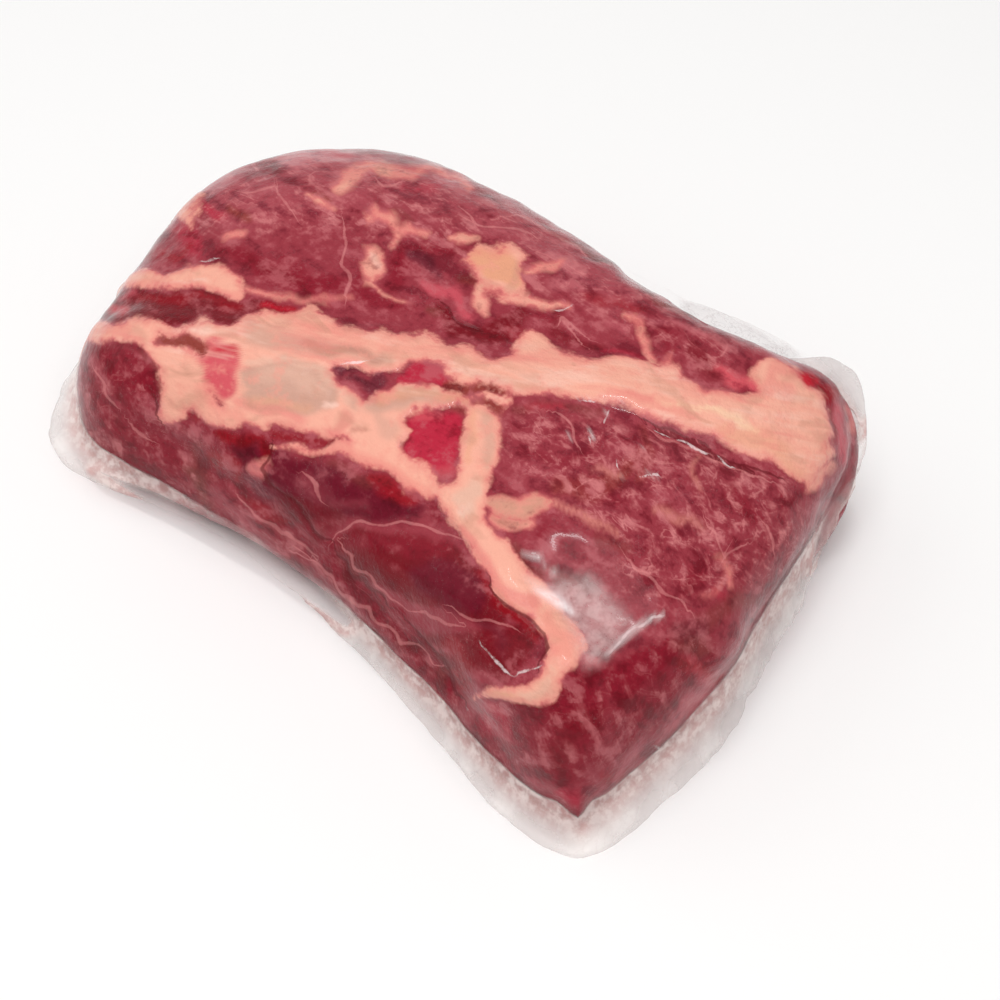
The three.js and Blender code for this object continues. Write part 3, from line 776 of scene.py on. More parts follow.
def graded(place, areas):
    """How strong a grain is at each place, with soft areas laid one over another."""
    amount = np.zeros(len(place))
    for strength, softness, line in areas:
        share = np.clip(0.5 - line_gap(place, line) / softness, 0, 1)
        amount += (strength - amount) * share * share * (3 - 2 * share)
    return amount


AROUND = 600  # vertices round the joint
TOP_RINGS, WALL_RINGS, FOOT_RINGS = 62, 86, 16  # rings over the core, round its edge and under it
RINGS = TOP_RINGS + WALL_RINGS + FOOT_RINGS
CORE_HEIGHT = 0.042
CORE_DEPTH = 0.040  # from the wall in to the core's edge
# The height of the margin's root by its direction from the middle: degrees from the joint's length, and
# metres.
ROOT_HEIGHTS = (
    (1, 0.034), (27, 0.040), (38, 0.042), (62, 0.038), (90, 0.036), (140, 0.034), (174, 0.032),
    (195, 0.030), (212, 0.026), (223, 0.020), (239, 0.015), (275, 0.012), (307, 0.011), (325, 0.012),
    (335, 0.016), (348, 0.026),
)
# Heights over the root between which the wall is measured, to cut the margin off it.
WALL_LEVELS = (0.003, 0.009)
MARGIN_WINDOW = 8  # rings each way over which the foot of the wall is rounded
# Angles above the core between which the rounding fades out, and above which the wall is left as it is.
MARGIN_TOP = (math.radians(14), math.radians(6))
FOOT_ROUND = 0.35  # share of that rounding that the beef's lower edge takes
FACET_PASSES = 5  # of smoothing over the solid's facets
CORE_PASSES, WALL_PASSES = 60, 4  # likewise, of the core's radius and of the wall's
LEAST_COSINE = 0.01  # of a ray's angle, so that a steep one doesn't run off
MIDDLE_SHIFT = (-0.008, 0.008)  # from the middle of the solid's box to the rays' middle
WELD = 1e-6
# Where the surface counts as seen: how far it has to face the eye, with the passes that smooth this and the
# outline.
FACING_LEAST, FACING_PASSES, OUTLINE_PASSES = 0.06, 6, 12
FILM_ROOM = 0.0009  # the beef stays this far inside the solid, for the film
# Where the bag stands off the beef, as soft areas of the view: strength, softness and line.
SLACK_DEPTH = 0.0115
SLACK = [
    (0.45, 44, [(640, 268, 6), (680, 292, 10)]),
    (1.0, 50, [(715, 296, 18), (770, 310, 26), (830, 325, 34), (880, 350, 30)]),
    (0.6, 40, [(880, 370, 20), (890, 410, 14)]),
]
# Where the beef fills the root of the margin, likewise.
BULGE_DEPTH = 0.0036
BULGE = [
    (1.5, 34, [(872, 400, 14), (874, 450, 18), (862, 500, 16), (840, 560, 12)]),
    (0.6, 24, [(100, 270, 8), (122, 238, 10), (150, 208, 8)]),
    (1.8, 26, [(574, 800, 6), (576, 812, 6)]),
]
# Size and amount, in pixels of the view, by which the marks are shifted about.
UNEVEN = ((40, 9.0), (17, 5.0))
WANDER_LAYER = 9.7  # in the noise, between the shifts across and down
FAT_RISE = 0.0006
FAT_SLOPE = (-3, 5)  # pixels inside the fat's edge over which it rises
SEAM_DROP = 0.0006
SEAM_REACH = 5  # pixels on either side of a seam over which the beef sinks
GLOSS = 0.8  # coat weight of the wet gloss of the film drawn tight on the beef
WET_SURFACE = {"IOR": 1.36, "Specular IOR Level": 0.12, "Coat IOR": 1.22, "Coat Roughness": 0.10}
# Size and height of the beef's own unevenness.
LUMPS = ((0.030, 0.0011), (0.011, 0.00045), (0.0045, 0.00016))

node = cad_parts["beef_in_vacuum_bag"]
solid = bmesh.new()
solid.from_mesh(node.data)
bmesh.ops.remove_doubles(solid, verts=solid.verts, dist=WELD)
bmesh.ops.recalc_face_normals(solid, faces=solid.faces)
solid_tree = BVHTree.FromBMesh(solid)
middle_x, middle_y = (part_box("beef_in_vacuum_bag")[0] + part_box("beef_in_vacuum_bag")[1])[:2]
middle = np.array((middle_x / 2 + MIDDLE_SHIFT[0], middle_y / 2 + MIDDLE_SHIFT[1]))
angles = np.arange(AROUND) * 2 * math.pi / AROUND
outwards = np.stack((np.cos(angles), np.sin(angles), np.zeros(AROUND)), -1)


def way_out(origin, direction):
    """How far the pack's surface is from a point inside it."""
    return solid_tree.ray_cast(Vector(origin), Vector(direction))[3]


def softened(rows, passes, axis):
    """Rows of values, each averaged with its neighbours round the joint (axis 1) or along a section (0)."""
    for _ in range(passes):
        if axis:
            before, after = np.roll(rows, 1, axis=1), np.roll(rows, -1, axis=1)
        else:
            before = np.concatenate((rows[:1], rows[:-1]))
            after = np.concatenate((rows[1:], rows[-1:]))
        rows = (before + 2 * rows + after) / 4
    return rows


def nearby(rows, count, pick):
    """The least or greatest value within count rings of each."""
    padded = np.concatenate((rows[:1].repeat(count, 0), rows, rows[-1:].repeat(count, 0)))
    return pick([padded[i:i + len(rows)] for i in range(2 * count + 1)], axis=0)


def close_poles(rows):
    """Gives each pole one value, the mean of its ring."""
    rows[[0, -1]] = rows[[0, -1]].mean(axis=1, keepdims=True)


def smooth_share(values, low, high):
    """A smooth rise from 0 to 1 as the values go from low to high."""
    share = np.clip((values - low) / (high - low), 0, 1)
    return share * share * (3 - 2 * share)


core_middle = np.array((*middle, CORE_HEIGHT))
core_radius = np.array([[way_out(core_middle, out) - CORE_DEPTH for out in outwards]])
core_radius = softened(core_radius, CORE_PASSES, 1)[0]

# Each ring's share of the way out over the core, and the angle of its rays above the horizontal.
ring = np.arange(RINGS + 1)
core_share = np.clip(np.minimum(ring / TOP_RINGS, (RINGS - ring) / FOOT_RINGS), 0, 1)
tilt = math.pi / 2 - math.pi * np.clip((ring - TOP_RINGS) / WALL_RINGS, 0, 1)
ray_starts = core_middle + core_share[:, None, None] * (core_radius[:, None] * outwards)
ray_ways = np.cos(tilt)[:, None, None] * outwards + np.sin(tilt)[:, None, None] * np.array((0, 0, 1.0))
full_reach = np.array([[way_out(o, d) for o, d in zip(*row)] for row in zip(ray_starts, ray_ways)])

directions, heights = np.transpose(ROOT_HEIGHTS)
root_height = np.interp(np.degrees(angles), directions, heights, period=360)
start_radius = core_share[:, None] * core_radius
radius = start_radius + full_reach * np.cos(tilt)[:, None]
height = CORE_HEIGHT + full_reach * np.sin(tilt)[:, None]
over_root = height - root_height
on_wall = (over_root > WALL_LEVELS[0]) & (over_root < WALL_LEVELS[1])
wall_radius = softened(np.where(on_wall, radius, 0).max(axis=0)[None], WALL_PASSES, 1)[0]
to_wall = (wall_radius - start_radius) / np.maximum(np.cos(tilt)[:, None], LEAST_COSINE)
margin_off = np.where(over_root < WALL_LEVELS[0], np.minimum(full_reach, to_wall), full_reach)

rounded = nearby(nearby(margin_off, MARGIN_WINDOW, np.min), MARGIN_WINDOW, np.max)
round_share = FOOT_ROUND * smooth_share(tilt, *MARGIN_TOP)[:, None]
beef_reach = margin_off + (rounded - margin_off) * round_share
beef_reach = softened(softened(beef_reach, FACET_PASSES, 0), 2 * FACET_PASSES, 1)
close_poles(beef_reach)
beef_reach -= FILM_ROOM


def sphere_of_rings(rings):
    """A closed sphere of rings, and each of its vertices' place in the grid of rings and steps round."""
    bm = bmesh.new()
    bmesh.ops.create_grid(bm, x_segments=AROUND, y_segments=rings, size=1)
    for vert in bm.verts:
        turn, fall = math.pi * vert.co.x, math.pi / 2 * (1 - vert.co.y)
        vert.co = (math.sin(fall) * math.cos(turn), math.sin(fall) * math.sin(turn), math.cos(fall))
    bmesh.ops.remove_doubles(bm, verts=bm.verts, dist=1e-5)
    bmesh.ops.recalc_face_normals(bm, faces=bm.faces)
    unit = np.array([v.co for v in bm.verts])
    down = np.rint(np.arccos(np.clip(unit[:, 2], -1, 1)) / math.pi * rings).astype(int)
    step = np.rint(np.arctan2(unit[:, 1], unit[:, 0]) / (2 * math.pi) * AROUND).astype(int) % AROUND
    return bm, (down, step)


def set_points(bm, points):
    """Moves the vertices of a bmesh to those points."""
    for vert, point in zip(bm.verts, points.tolist()):
        vert.co = point
    bm.normal_update()


def grid_of(values, places, rings):
    """Values of a mesh's vertices as rings by steps, with a pole's value all along its ring."""
    grid = np.zeros((rings + 1, AROUND, values.shape[-1]))
    grid[places] = values
    for pole in (0, rings):
        grid[pole] = values[places[0] == pole]
    return grid


def at_ring(rows, place):
    """The value of each column of rows at its own ring, between two rings by share."""
    low = np.floor(place).astype(int)
    share = (place - low)
    columns = np.arange(rows.shape[1])
    first, second = rows[low, columns], rows[low + 1, columns]
    return first + (second - first) * (share[:, None] if rows.ndim == 3 else share)


beef_bm, beef_places = sphere_of_rings(RINGS)


def shaped(depth):
    """The grid of the beef's surface at that depth along its rays, with its normals and places in the view.

    Past the joint's outline in the view, the places run on outwards by their way along the surface, so that
    the marks continue over the sides that don't show."""
    grid = ray_starts + ray_ways * depth[..., None]
    grid[..., 2] = np.maximum(grid[..., 2], FILM_ROOM)
    set_points(beef_bm, grid[beef_places])
    normals = grid_of(np.array([v.normal for v in beef_bm.verts]), beef_places, RINGS)
    seen = np.sum(normals * (eye - grid), -1) / np.linalg.norm(eye - grid, axis=-1)
    hidden = (softened(seen, FACING_PASSES, 1) < FACING_LEAST) & (ring > TOP_RINGS // 2)[:, None]
    last_seen = softened(np.argmax(hidden, axis=0)[None].astype(float), OUTLINE_PASSES, 1)[0]
    view = in_view(grid)
    along = np.cumsum(np.linalg.norm(np.diff(grid, axis=0, prepend=grid[:1]), axis=-1), axis=0)
    edge_view, edge_along = at_ring(view, last_seen), at_ring(along, last_seen)
    away = edge_view - view[0]
    away /= np.linalg.norm(away, axis=-1, keepdims=True)
    run_on = edge_view + away * (np.maximum(along - edge_along, 0) / PIXEL_SIZE)[..., None]
    return grid, normals, np.where((ring[:, None] > last_seen)[..., None], run_on, view)


_, _, first_places = shaped(beef_reach)


def eased(depth, areas):
    """A depth over soft areas of the view, and none at the poles."""
    amount = depth * graded(first_places.reshape(-1, 2), areas).reshape(beef_reach.shape)
    amount[[0, -1]] = 0
    return amount


# Along the far right shoulder the bag stands clear of the beef, so the beef is drawn in there.
slack = eased(SLACK_DEPTH, SLACK)
bulge = eased(BULGE_DEPTH, BULGE)
beef_grid, beef_normals, place_grid = shaped(beef_reach - slack + bulge)
place = place_grid[beef_places]


def wander(places, size, amount):
    """Shifts by noise, of that size and amount in pixels of the view."""
    return amount * np.array([
        (noise.noise(Vector((u, v, 0.0))), noise.noise(Vector((u, v, WANDER_LAYER))))
        for u, v in places / size
    ])


# The marks are laid out by places that are shifted about, so that no edge is even.
uneven_place = place + sum(wander(place, size, amount) for size, amount in UNEVEN)
fat_gap = fat_gap_at(uneven_place)
streak_gap = np.min([line_gap(uneven_place, line) for line in FAT_STREAKS], axis=0)
seam_gap, seam_share = nearest_thread(uneven_place, SEAMS)
vein_and_highlight_gap, vein_and_highlight_share = nearest_thread(uneven_place, VEINS_AND_HIGHLIGHTS)
muscle_tone = washed(uneven_place, "lean", MUSCLE_WASHES)
fat_tone = washed(uneven_place, "peach", FAT_WASHES)
grain = {name: graded(place, areas) for name, areas in GRAIN.items()}

points = beef_grid[beef_places]
normals = beef_normals[beef_places]
sunk = SEAM_DROP * seam_share * smooth_share(-np.abs(seam_gap), -SEAM_REACH, 0)
rise = FAT_RISE * smooth_share(-fat_gap, *FAT_SLOPE) - sunk
for size, height in LUMPS:
    rise += height * np.array([noise.noise(Vector(p) / size) for p in points])
points = points + normals * rise[:, None]
points[:, 2] = np.maximum(points[:, 2], FILM_ROOM / 2)
set_points(beef_bm, points)

beef_mesh = mesh_from(beef_bm, "beef")
beef_mesh.shade_smooth()


def keep_values(mesh, name, values):
    """Keeps a value, or a vector of three, at each vertex of a mesh."""
    kind = "FLOAT_VECTOR" if values.ndim == 2 else "FLOAT"
    layer = mesh.attributes.new(name, kind, "POINT")
    layer.data.foreach_set("vector" if values.ndim == 2 else "value", values.astype(np.float32).ravel())


keep_values(beef_mesh, "muscle_tone", muscle_tone)
keep_values(beef_mesh, "fat_tone", fat_tone)
keep_values(beef_mesh, "gaps", np.stack((fat_gap, streak_gap, seam_gap), -1))
keep_values(beef_mesh, "lines", np.stack((vein_and_highlight_gap, vein_and_highlight_share, seam_share), -1))
keep_values(beef_mesh, "marbling", np.stack((grain["flecks"], grain["gaps"], grain["uneven"]), -1))
keep_values(beef_mesh, "fibres", np.stack((grain["steep"], grain["short"], grain["banded"]), -1))
keep_values(beef_mesh, "strong", 1 - grain["faint"])
keep_values(beef_mesh, "gloss", GLOSS * (1 - grain["dull"]))
keep_values(beef_mesh, "view_place", np.column_stack((place, np.zeros(len(place)))))

beef = placed("beef", beef_mesh)

beef_material, beef_shader, tie = new_material("raw_beef")


def kept(name, part=None):
    """A value kept at the mesh's vertices, or one part of a vector of them."""
    value = tie.node("ShaderNodeAttribute", {"attribute_name": name}, out=2 if part is None else 1)
    return value if part is None else tie.node("ShaderNodeSeparateXYZ", {}, {0: value}, out=part)


def colour_kept(name):
    """A colour, or a place, kept at the mesh's vertices."""
    return tie.node("ShaderNodeAttribute", {"attribute_name": name}, out=1)


object_place = tie.node("ShaderNodeTexCoord", out=3)


def cloud(size, detail=3.0, rough=0.55, where=None, stretch=(1, 1, 1), turn=0.0, bend=0.0):
    """Noise of that size in metres, or in pixels of the view, from 0 to 1 about a middle of 0.5."""
    spot = tie.node("ShaderNodeMapping", {"vector_type": "TEXTURE"}, {
        0: where or object_place, 2: (0, 0, turn), 3: tuple(size * s for s in stretch)})
    return tie.node("ShaderNodeTexNoise", {}, {
        "Vector": spot, "Scale": 1.0, "Detail": detail, "Roughness": rough, "Distortion": bend})


view_place = colour_kept("view_place")


def fibres(length, width, degrees, rough=0.58, bend=0.0, detail=3.0):
    """Noise drawn out along fibres, by their length and width in pixels of the view and their slope."""
    return cloud(1.0, detail, rough, where=view_place, stretch=(length, width, 1),
                 turn=math.radians(degrees), bend=bend)


# Fibres run along each muscle, so noise is drawn out along them: along the joint in most, down it in the
# round end and the cut end, and in short flecks in the large muscle of the right.
threads = fibres(70, 14, 33)
steep = fibres(56, 13, 70)
short = fibres(24, 13, 48, rough=0.60, bend=0.8)
threads = threads + (steep - threads) * kept("fibres", 0)
threads = threads + (short - threads) * kept("fibres", 1)
soft = fibres(46, 25, 24, rough=0.5, bend=0.7, detail=2.0)
fat_threads = fibres(110, 19, 11, rough=0.66)
blotch = cloud(0.0075, 3.0, 0.62)
fine = cloud(0.0024, 3.0, 0.62)
mottle = blotch + (fine - 0.5) * 0.35

# Muscle: its washes, with dark gaps between its bundles and pale marbling, in broad patches, in strands
# that wind between them and in flecks along the fibres.
uneven = (blotch - 0.5) * 1.5 + (soft - 0.5) * 1.1 + (threads - 0.5) * 0.9 + (fine - 0.5) * 0.5
uneven = uneven * kept("marbling", 2)
muscle = colour_kept("muscle_tone")
darker = tie.node("ShaderNodeMix", {"data_type": "RGBA", "blend_type": "MULTIPLY"},
                  {0: 1.0, 6: muscle, 7: (0.60, 0.34, 0.46, 1.0)}, out=2)
lighter = tie.node("ShaderNodeMix", {"data_type": "RGBA"},
                   {0: 0.55, 6: muscle, 7: (*flesh("blush"), 1.0)}, out=2)
muscle = (uneven.step(0.0, -0.40) * 0.95).blend(muscle, darker)
muscle = (uneven.step(0.0, 0.40) * 0.95).blend(muscle, lighter)
gaps = (threads + (blotch - 0.5) * 0.5).step(0.44, 0.24) * kept("marbling", 1)
muscle = (gaps * 0.6).blend(muscle, flesh("wine"))
flecks = (threads + (blotch - 0.5) * 0.5).step(0.50, 0.76) * kept("marbling", 0)
muscle = (flecks * 0.60).blend(muscle, flesh("fleck"))
strand = tie.sum("ABSOLUTE", soft - 0.5 + (fine - 0.5) * 0.10).step(0.034, 0.0)
strand = strand * (blotch - (soft - 0.5) * 0.3).step(0.44, 0.62) * kept("marbling", 0)
muscle = (strand * 0.50).blend(muscle, flesh("fleck"))
worm = tie.sum("ABSOLUTE", threads - 0.5 + (fine - 0.5) * 0.08).step(0.030, 0.0)
worm = worm * mottle.step(0.48, 0.62) * kept("marbling", 0)
muscle = (worm * 0.42).blend(muscle, flesh("fleck"))

# Fat: its washes, with paler and rosier threads along it, and redder towards its edges.
frill = (fine - 0.5) * 6.0 + (threads - 0.5) * 9.0 + (blotch - 0.5) * 9.0
fat_edge = kept("gaps", 0) + frill
streak_edge = kept("gaps", 1) + frill * 0.8
near_edge = tie.sum("MINIMUM", fat_edge, streak_edge)
fat = colour_kept("fat_tone")
banded = kept("fibres", 2)
fat = (fat_threads.step(0.48, 0.68) * 0.50 * banded).blend(fat, flesh("pearl"))
fat = (fat_threads.step(0.50, 0.32) * 0.45 * banded).blend(fat, flesh("coral"))
fat = (blotch.step(0.50, 0.68) * 0.50).blend(fat, flesh("salmon"))
fat = (soft.step(0.47, 0.30) * 0.50).blend(fat, flesh("sand"))
fat = (near_edge.step(-10.0, -1.0) * 0.45).blend(fat, flesh("coral"))
fat = (near_edge.step(-5.0, 0.5) * mottle.step(0.36, 0.60) * 0.5).blend(fat, flesh("flush"))
surface = fat_edge.step(3.4, -2.8).blend(muscle, fat)
streak_mask = streak_edge.step(4.0, -3.4) * mottle.step(0.26, 0.52, 0.45, 0.95) * kept("strong")
surface = streak_mask.blend(surface, fat)

# Pale veins and silverskin, and painted highlight lines drawn the same way.
vein_and_highlight_edge = kept("lines", 0)
vein_and_highlight_mask = (vein_and_highlight_edge * vein_and_highlight_edge + (fine - 0.5) * 7.0).step(3.6, 0.2) * kept("lines", 1)
surface = (vein_and_highlight_mask * (0.15 + blotch * 0.6)).blend(surface, flesh("fleck"))
# The slits between muscles are painted dark as their shade, over the groove that the beef sinks into there.
seam_edge = kept("gaps", 2)
seam_shade_mask = (seam_edge * seam_edge + (fine - 0.5) * 9.0).step(6.5, 0.3) * kept("lines", 2)
surface = (seam_shade_mask * 0.7).blend(surface, flesh("seam"))
surface.feed(beef_shader, "Base Color")

set_inputs(beef_shader, WET_SURFACE)
kept("gloss").feed(beef_shader, "Coat Weight")
rough = blotch * 0.3 + 0.26
rough.feed(beef_shader, "Roughness")
bump = tie.node("ShaderNodeBump", {}, {"Strength": 0.55, "Distance": 0.0011, "Height": fine})
bump.feed(beef_shader, "Normal")
beef_mesh.materials.append(beef_material)

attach(beef, "root")
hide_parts("beef_in_vacuum_bag")


# ---- The bag ----
# A clear shrink bag, drawn tight over the beef under vacuum so that it bridges the hollows between the
# muscles. Its loose margin stands out round the joint as two crinkled plies that meet at the rim, milky
# where they're loose.
FILM_GAP = 0.00045
BRIDGE_PASSES = 44  # of smoothing that the film takes across hollows
UPPER_ROWS, MARGIN_ROWS, LOWER_ROWS = 100, 10, 22
RIM_LEVELS = np.arange(0.0007, 0.052, 0.0007)  # heights at which the rim is looked for
FAR_OUT = 0.4  # from the middle, where the rays that look for it start
# Rings between the wall and the middle of the margin's root, over which the film leaves the beef.
FILLET = 3.5
RIM_ABOVE_ROOT = 0.003  # the most that the rim stands above the margin's root
ROOT_OUT = 0.0004  # from the beef out to the fold of each ply at the root
LIFT_PASSES, ROOT_PASSES, RIM_PASSES = 3, 8, 3  # of smoothing
RIM_INSET = 0.0007  # from the solid's rim in to the film's
EAR = (40, 9, -0.003, 0.0135)  # the margin's ear: direction and half-width in degrees, reach and rise
PLY_GAP = 0.00018  # half the distance between the two plies at the rim
PUFF = 0.0007  # how far the plies stand apart halfway out
PUFF_SIZE, PUFF_LEAST = 0.006, 0.6  # length of its swells along the rim, and its middle share
PUFF_LAYER, SIDE_LAYERS, CRUMPLE_LAYERS = 31, 9, 7  # in the noise, so that no two are alike
CRUMPLES = ((0.0032, 0.0007), (0.0095, 0.0012))  # length along the rim and height of the margin's crumples
SLACK_CREASES = ((0.011, 0.0013), (0.0048, 0.0005))  # size and height of the creases where the bag is slack
MILK_SIZE = 0.012  # of the milkier patches of the loose film
MARGIN_LAYERS = 3.0  # how the crumples change from the root to the rim
CLEAR_SURFACE = {"Roughness": 0.14, "IOR": 1.27}

finished = grid_of(points, beef_places, RINGS)
finished_normals = grid_of(np.array([v.vector for v in beef_mesh.vertex_normals]), beef_places, RINGS)
bridged = softened(softened(finished, BRIDGE_PASSES, 0), BRIDGE_PASSES, 1)
lift = np.maximum(np.sum((bridged - finished) * finished_normals, -1), 0)
lift = softened(softened(lift, LIFT_PASSES, 0), LIFT_PASSES, 1) + FILM_GAP
film_body = finished + finished_normals * lift[..., None] + ray_ways * slack[..., None]
for size, height in SLACK_CREASES:
    creases = np.array([noise.noise(Vector(p) / size) for p in film_body.reshape(-1, 3).tolist()])
    shift = height * creases.reshape(slack.shape) * slack / SLACK_DEPTH
    film_body = film_body + finished_normals * shift[..., None]
close_poles(film_body)
film_body[..., 2] = np.maximum(film_body[..., 2], 0)

# The margin's rim is the furthest point of the solid's own margin, up to a little above its root.
below = (film_body[..., 2] < root_height) & (ring > TOP_RINGS)[:, None]
root_ring = softened(np.argmax(below, axis=0)[None].astype(float), ROOT_PASSES, 1)[0]
root = at_ring(film_body, root_ring)
rims = []
for out, height in zip(outwards, root_height):
    levels = RIM_LEVELS[RIM_LEVELS < height + RIM_ABOVE_ROOT]
    sides = [np.array((*middle, level)) + FAR_OUT * out for level in levels]
    hits = [side - way_out(side, -out) * out for side in sides if way_out(side, -out)]
    rims.append(max(hits, key=lambda hit: hit @ out))
rim = np.array(rims) - RIM_INSET * outwards
rim = softened(rim[None], RIM_PASSES, 1)[0]
# At the far right corner the margin stands up in a small ear.
ear = smooth_share(-np.abs(np.degrees(angles) - EAR[0]), -EAR[1], 0)[:, None]
rim = rim + ear * (EAR[2] * outwards + np.array((0, 0, EAR[3])))

# A run of length along the rim, by which the crumples are laid out.
rim_run = np.cumsum(np.linalg.norm(np.diff(rim, axis=0, prepend=rim[:1]), axis=1))
rim_length = rim_run[-1] + np.linalg.norm(rim[0] - rim[-1])


def crumple(run, share, size, layer):
    """Noise round the rim that closes on itself."""
    turn = run / rim_length * 2 * math.pi
    radius = rim_length / (2 * math.pi) / size
    spot = (radius * math.cos(turn), radius * math.sin(turn), share * MARGIN_LAYERS + layer)
    return noise.noise(Vector(spot))


across_fin = rim - root
fin_normal = np.cross(np.roll(rim, -1, 0) - np.roll(rim, 1, 0), across_fin)
fin_normal /= np.linalg.norm(fin_normal, axis=1, keepdims=True)
fin_normal *= np.sign(fin_normal[:, 2:])

rows = []
margin_rows = []
for q in np.linspace(0, 1, UPPER_ROWS):
    rows.append(at_ring(film_body, (root_ring - FILLET) * q))
    margin_rows.append(0.0)
shares = np.arange(1, MARGIN_ROWS + 1) / MARGIN_ROWS
wall_above = at_ring(film_body, root_ring - FILLET)
wall_below = at_ring(film_body, root_ring + FILLET)
for side, start, order in ((1, wall_above, shares), (-1, wall_below, shares[::-1])):
    for s in order:
        edge = rim + side * PLY_GAP * fin_normal
        ply = (1 - s) ** 2 * start + 2 * s * (1 - s) * (root + ROOT_OUT * outwards) + s * s * edge
        waves = np.zeros(AROUND)
        for number, (size, height) in enumerate(CRUMPLES):
            waves += height * s * np.array([
                crumple(run, s, size, CRUMPLE_LAYERS * number) for run in rim_run])
        puff = PUFF * math.sin(math.pi * s) * np.array([
            PUFF_LEAST + crumple(run, s, PUFF_SIZE, PUFF_LAYER + SIDE_LAYERS * side) for run in rim_run])
        ply = ply + fin_normal * (waves + side * np.maximum(puff, 0))[:, None]
        rows.append(ply)
        margin_rows.append(s)
for q in np.linspace(0, 1, LOWER_ROWS):
    rows.append(at_ring(film_body, root_ring + FILLET + (RINGS - root_ring - FILLET - 1e-6) * q))
    margin_rows.append(0.0)

film_grid = np.array(rows)
film_grid[..., 2] = np.maximum(film_grid[..., 2], 0.0)
close_poles(film_grid)
film_rings = len(rows) - 1
film_bm, film_places = sphere_of_rings(film_rings)
set_points(film_bm, film_grid[film_places])
film_mesh = mesh_from(film_bm, "film")
film_mesh.shade_smooth()

# Where the film is hazy because it stands clear of the beef, a milky veil with a painted reflection in it,
# and where it catches the light, in the view.
HAZE_AND_REFLECTION_OUTLINE = [
    (528, 580), (538, 588), (552, 586), (570, 580), (588, 577), (598, 586), (606, 598), (616, 608),
    (628, 622), (622, 636), (612, 647), (600, 660), (588, 666), (582, 656), (578, 642), (572, 626),
    (562, 612), (548, 598),
]
# Where the haze and the creases shine.
HAZE_SHINE = [
    (1.0, 9, [(536, 588, 2), (548, 595, 5), (562, 604, 5), (572, 612, 2)]),
    (0.6, 6, [(606, 656, 1.5), (618, 643, 2.5), (634, 629, 3.5), (650, 619, 2.5), (664, 615, 1.5)]),
    (0.5, 6, [(524, 553, 2), (536, 556, 3), (545, 563, 2)]),
    (0.4, 5, [(552, 572, 2), (560, 574, 2)]),
    (0.75, 4, [(590, 430, 0.8), (594, 440, 1.2)]),
    (0.45, 4, [(567, 431, 0.8), (571, 440, 0.8)]),
    (0.65, 4, [(647, 473, 0.8), (656, 476, 1.0)]),
    (0.4, 4, [(640, 445, 0.6), (645, 450, 0.6)]),
    (0.5, 4, [(604, 408, 0.6), (607, 415, 0.8)]),
    (0.4, 4, [(619, 475, 0.6), (625, 479, 0.6)]),
    (0.4, 4, [(578, 399, 0.6), (590, 398, 0.8)]),
    (0.35, 4, [(613, 396, 0.5), (624, 403, 0.6)]),
]
# Where the margin lies flat on the beef and is clear.
CLEAR_EDGE = [
    (1.0, 22, [(96, 470, 6), (150, 498, 14), (220, 535, 18), (300, 584, 18), (345, 622, 12)]),
    (0.95, 20, [(874, 425, 10), (858, 465, 14), (840, 502, 15), (822, 545, 13), (812, 566, 8)]),
]
# The thin glints.
GLINTS = [
    [(198, 261), (207, 260), (217, 259)],
    [(550, 309), (560, 308), (572, 305)],
    [(606, 656), (616, 645), (632, 630), (650, 619), (664, 615)],
    [(632, 631), (650, 620), (660, 617)],
    [(479, 641), (488, 652), (500, 665), (512, 677)],
    [(515, 678), (528, 668), (543, 665)],
    [(588, 430), (591, 437), (593, 443)],
    [(608, 408), (607, 416), (604, 422)],
    [(580, 400), (588, 400), (596, 402)],
    [(642, 476), (652, 474), (660, 478)],
    [(537, 591), (548, 597), (560, 603)],
    [(536, 588), (550, 595), (564, 603)],
    [(338, 362), (352, 362), (368, 363)],
    [(525, 553), (534, 555), (540, 559)],
    [(552, 570), (562, 571)],
    [(587, 583), (591, 587)],
    [(758, 500), (762, 504)],
    [(616, 461), (619, 469)],
    [(756, 624), (762, 630), (768, 635)],
    [(718, 688), (712, 694)],
    [(467, 706), (469, 711)],
    [(653, 744), (660, 751)],
    [(655, 431), (680, 441), (700, 450), (720, 460), (735, 466)],
]
# Size and amount, in pixels of the view, by which the glints waver.
GLINT_WAVE, GLINT_WAVER = 15.0, 4.0
film_view = in_view(film_grid)
film_view_place = film_view[film_places]
# Only what faces the eye is marked.
film_normals = np.array([v.vector for v in film_mesh.vertex_normals])
film_points = film_grid[film_places]
facing = np.sum(film_normals * (eye - film_points), -1) > 0
wavy_place = film_view_place + wander(film_view_place, GLINT_WAVE, GLINT_WAVER)
glint_gap, glint_share = nearest_thread(wavy_place, GLINTS, reach=5)
# haze: milky film where it stands clear of the beef, with its painted reflection
haze = smooth_share(-outline_gap(film_view_place, HAZE_AND_REFLECTION_OUTLINE), -12, 12) * facing
shine = graded(film_view_place, HAZE_SHINE) * facing
clear_edge = graded(film_view_place, CLEAR_EDGE)
beef_tree = BVHTree.FromObject(beef, bpy.context.evaluated_depsgraph_get())
clearance = np.array([beef_tree.find_nearest(point)[3] for point in film_points.tolist()])
milk = np.array([noise.noise(p / MILK_SIZE) + 0.5 * noise.noise(p / MILK_SIZE * 2.3)
                 for p in map(Vector, film_points.tolist())])
keep_values(film_mesh, "marks", np.stack((clearance * 1000 * (1 - 0.85 * clear_edge), haze, milk), -1))
keep_values(film_mesh, "margin", np.array(margin_rows)[film_places[0]] * (1 - 0.96 * clear_edge))
keep_values(film_mesh, "glints", np.stack((glint_gap, glint_share * facing, shine), -1))

film = placed("film", film_mesh)
film.visible_shadow = False  # clear film throws next to none

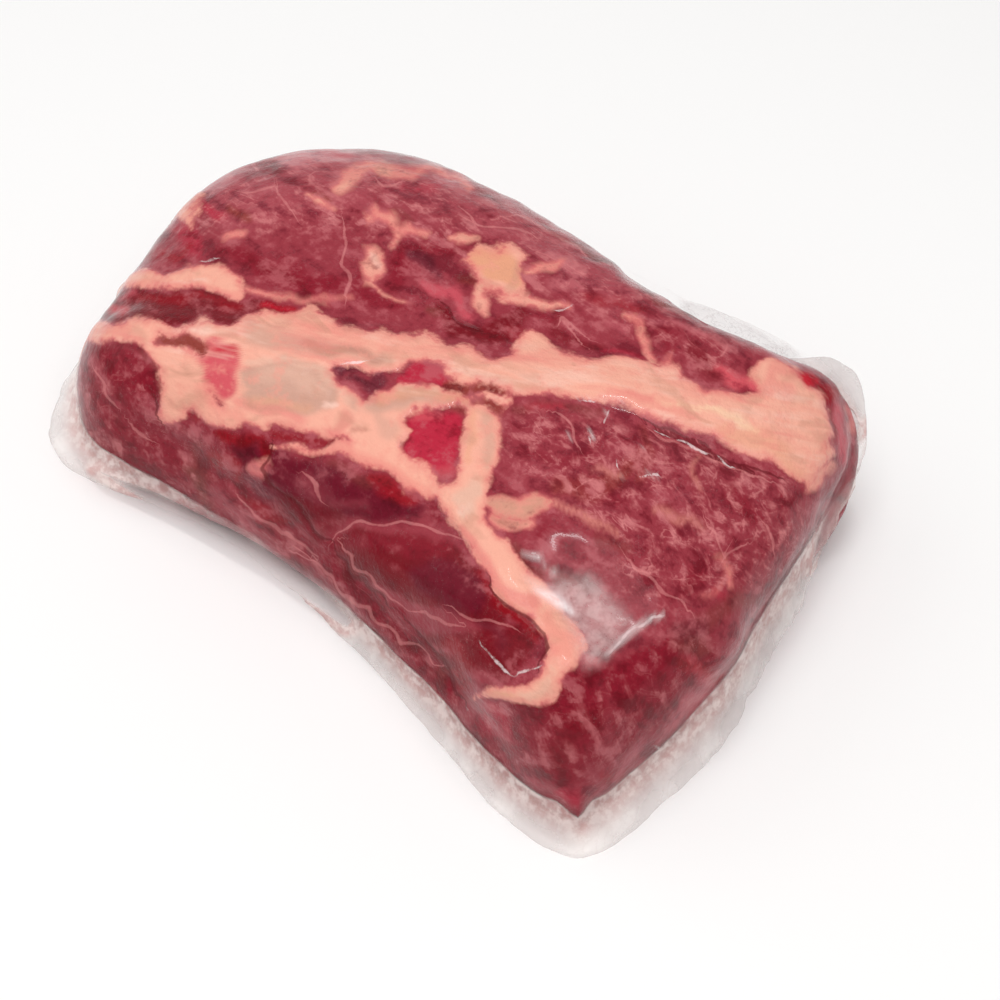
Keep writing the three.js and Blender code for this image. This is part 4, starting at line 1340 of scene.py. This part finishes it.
film_material, film_shader, tie = new_material("clear_film")
object_place = tie.node("ShaderNodeTexCoord", out=3)  # read by cloud(), now in this material
clear = kept("marks", 0)  # millimetres between the film and the beef
out = kept("margin")  # share of the way out over the margin
on_margin = out.step(0.0, 0.14)
inner = on_margin * out.step(0.90, 0.40)
slackness = clear.step(3.8, 7.5)
haze_and_reflection_share = kept("marks", 1)
glint_edge = kept("glints", 0)
crease = cloud(0.0042, 3.0, 0.6)
glint = (glint_edge * glint_edge + (crease - 0.5) * 13.0).step(2.4, -1.4) * kept("glints", 1)
ridge = tie.sum("ABSOLUTE", crease - 0.5)
milk_share = kept("marks", 2).step(-0.35, 0.45)
# The margin's crinkles are painted: a shaded side and a highlighted side by the crease noise, with darker
# painted shade along the fold lines.
crinkle_lit_share = crease.step(0.34, 0.66)
shaded_folds = ridge.step(0.040, 0.0)
alpha = ridge.step(0.020, 0.0) * milk_share * 0.04 + clear.step(2.5, 5.0) * 0.02
alpha = alpha + (0.14 + milk_share * 0.10 + shaded_folds * 0.12 - alpha) * slackness
on_margin_alpha = 0.30 + milk_share * 0.10 + inner * (0.24 + crinkle_lit_share * 0.14)
alpha = alpha + (on_margin_alpha - alpha) * on_margin
# Where it stands clear, the film is painted opaque in streaks, milky and with a painted reflection.
streaky = haze_and_reflection_share * crease.step(0.30, 0.70, 0.34, 0.66)
shine = kept("glints", 2)
alpha = alpha + (1 - alpha) * streaky
alpha = alpha + (0.85 - alpha) * shine
alpha = alpha + (0.55 - alpha) * glint
alpha.feed(film_shader, "Alpha")
tone = milk_share.blend(linear((212, 201, 198)), linear((238, 231, 228)))
# painted shade and highlights of the crinkles, the shaded side also pinker near the beef, where its juice
# tints the film
tone = (inner * 0.85).blend(tone, crinkle_lit_share.blend(linear((206, 158, 153)), linear((242, 224, 219))))
tone = (shaded_folds * 0.3).blend(tone, linear((206, 190, 184)))
# the painted reflection on the haze
tone = haze_and_reflection_share.blend(tone, linear((222, 190, 188)))
tone = shine.blend(tone, linear((250, 238, 238)))
tone = glint.blend(tone, linear((255, 236, 236)))
tone.feed(film_shader, "Base Color")
set_inputs(film_shader, CLEAR_SURFACE)
ripple = tie.node("ShaderNodeBump", {}, {"Strength": 0.3, "Distance": 0.0005, "Height": crease})
ripple.feed(film_shader, "Normal")
film_mesh.materials.append(film_material)

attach(film, "root")
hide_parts("beef_in_vacuum_bag")
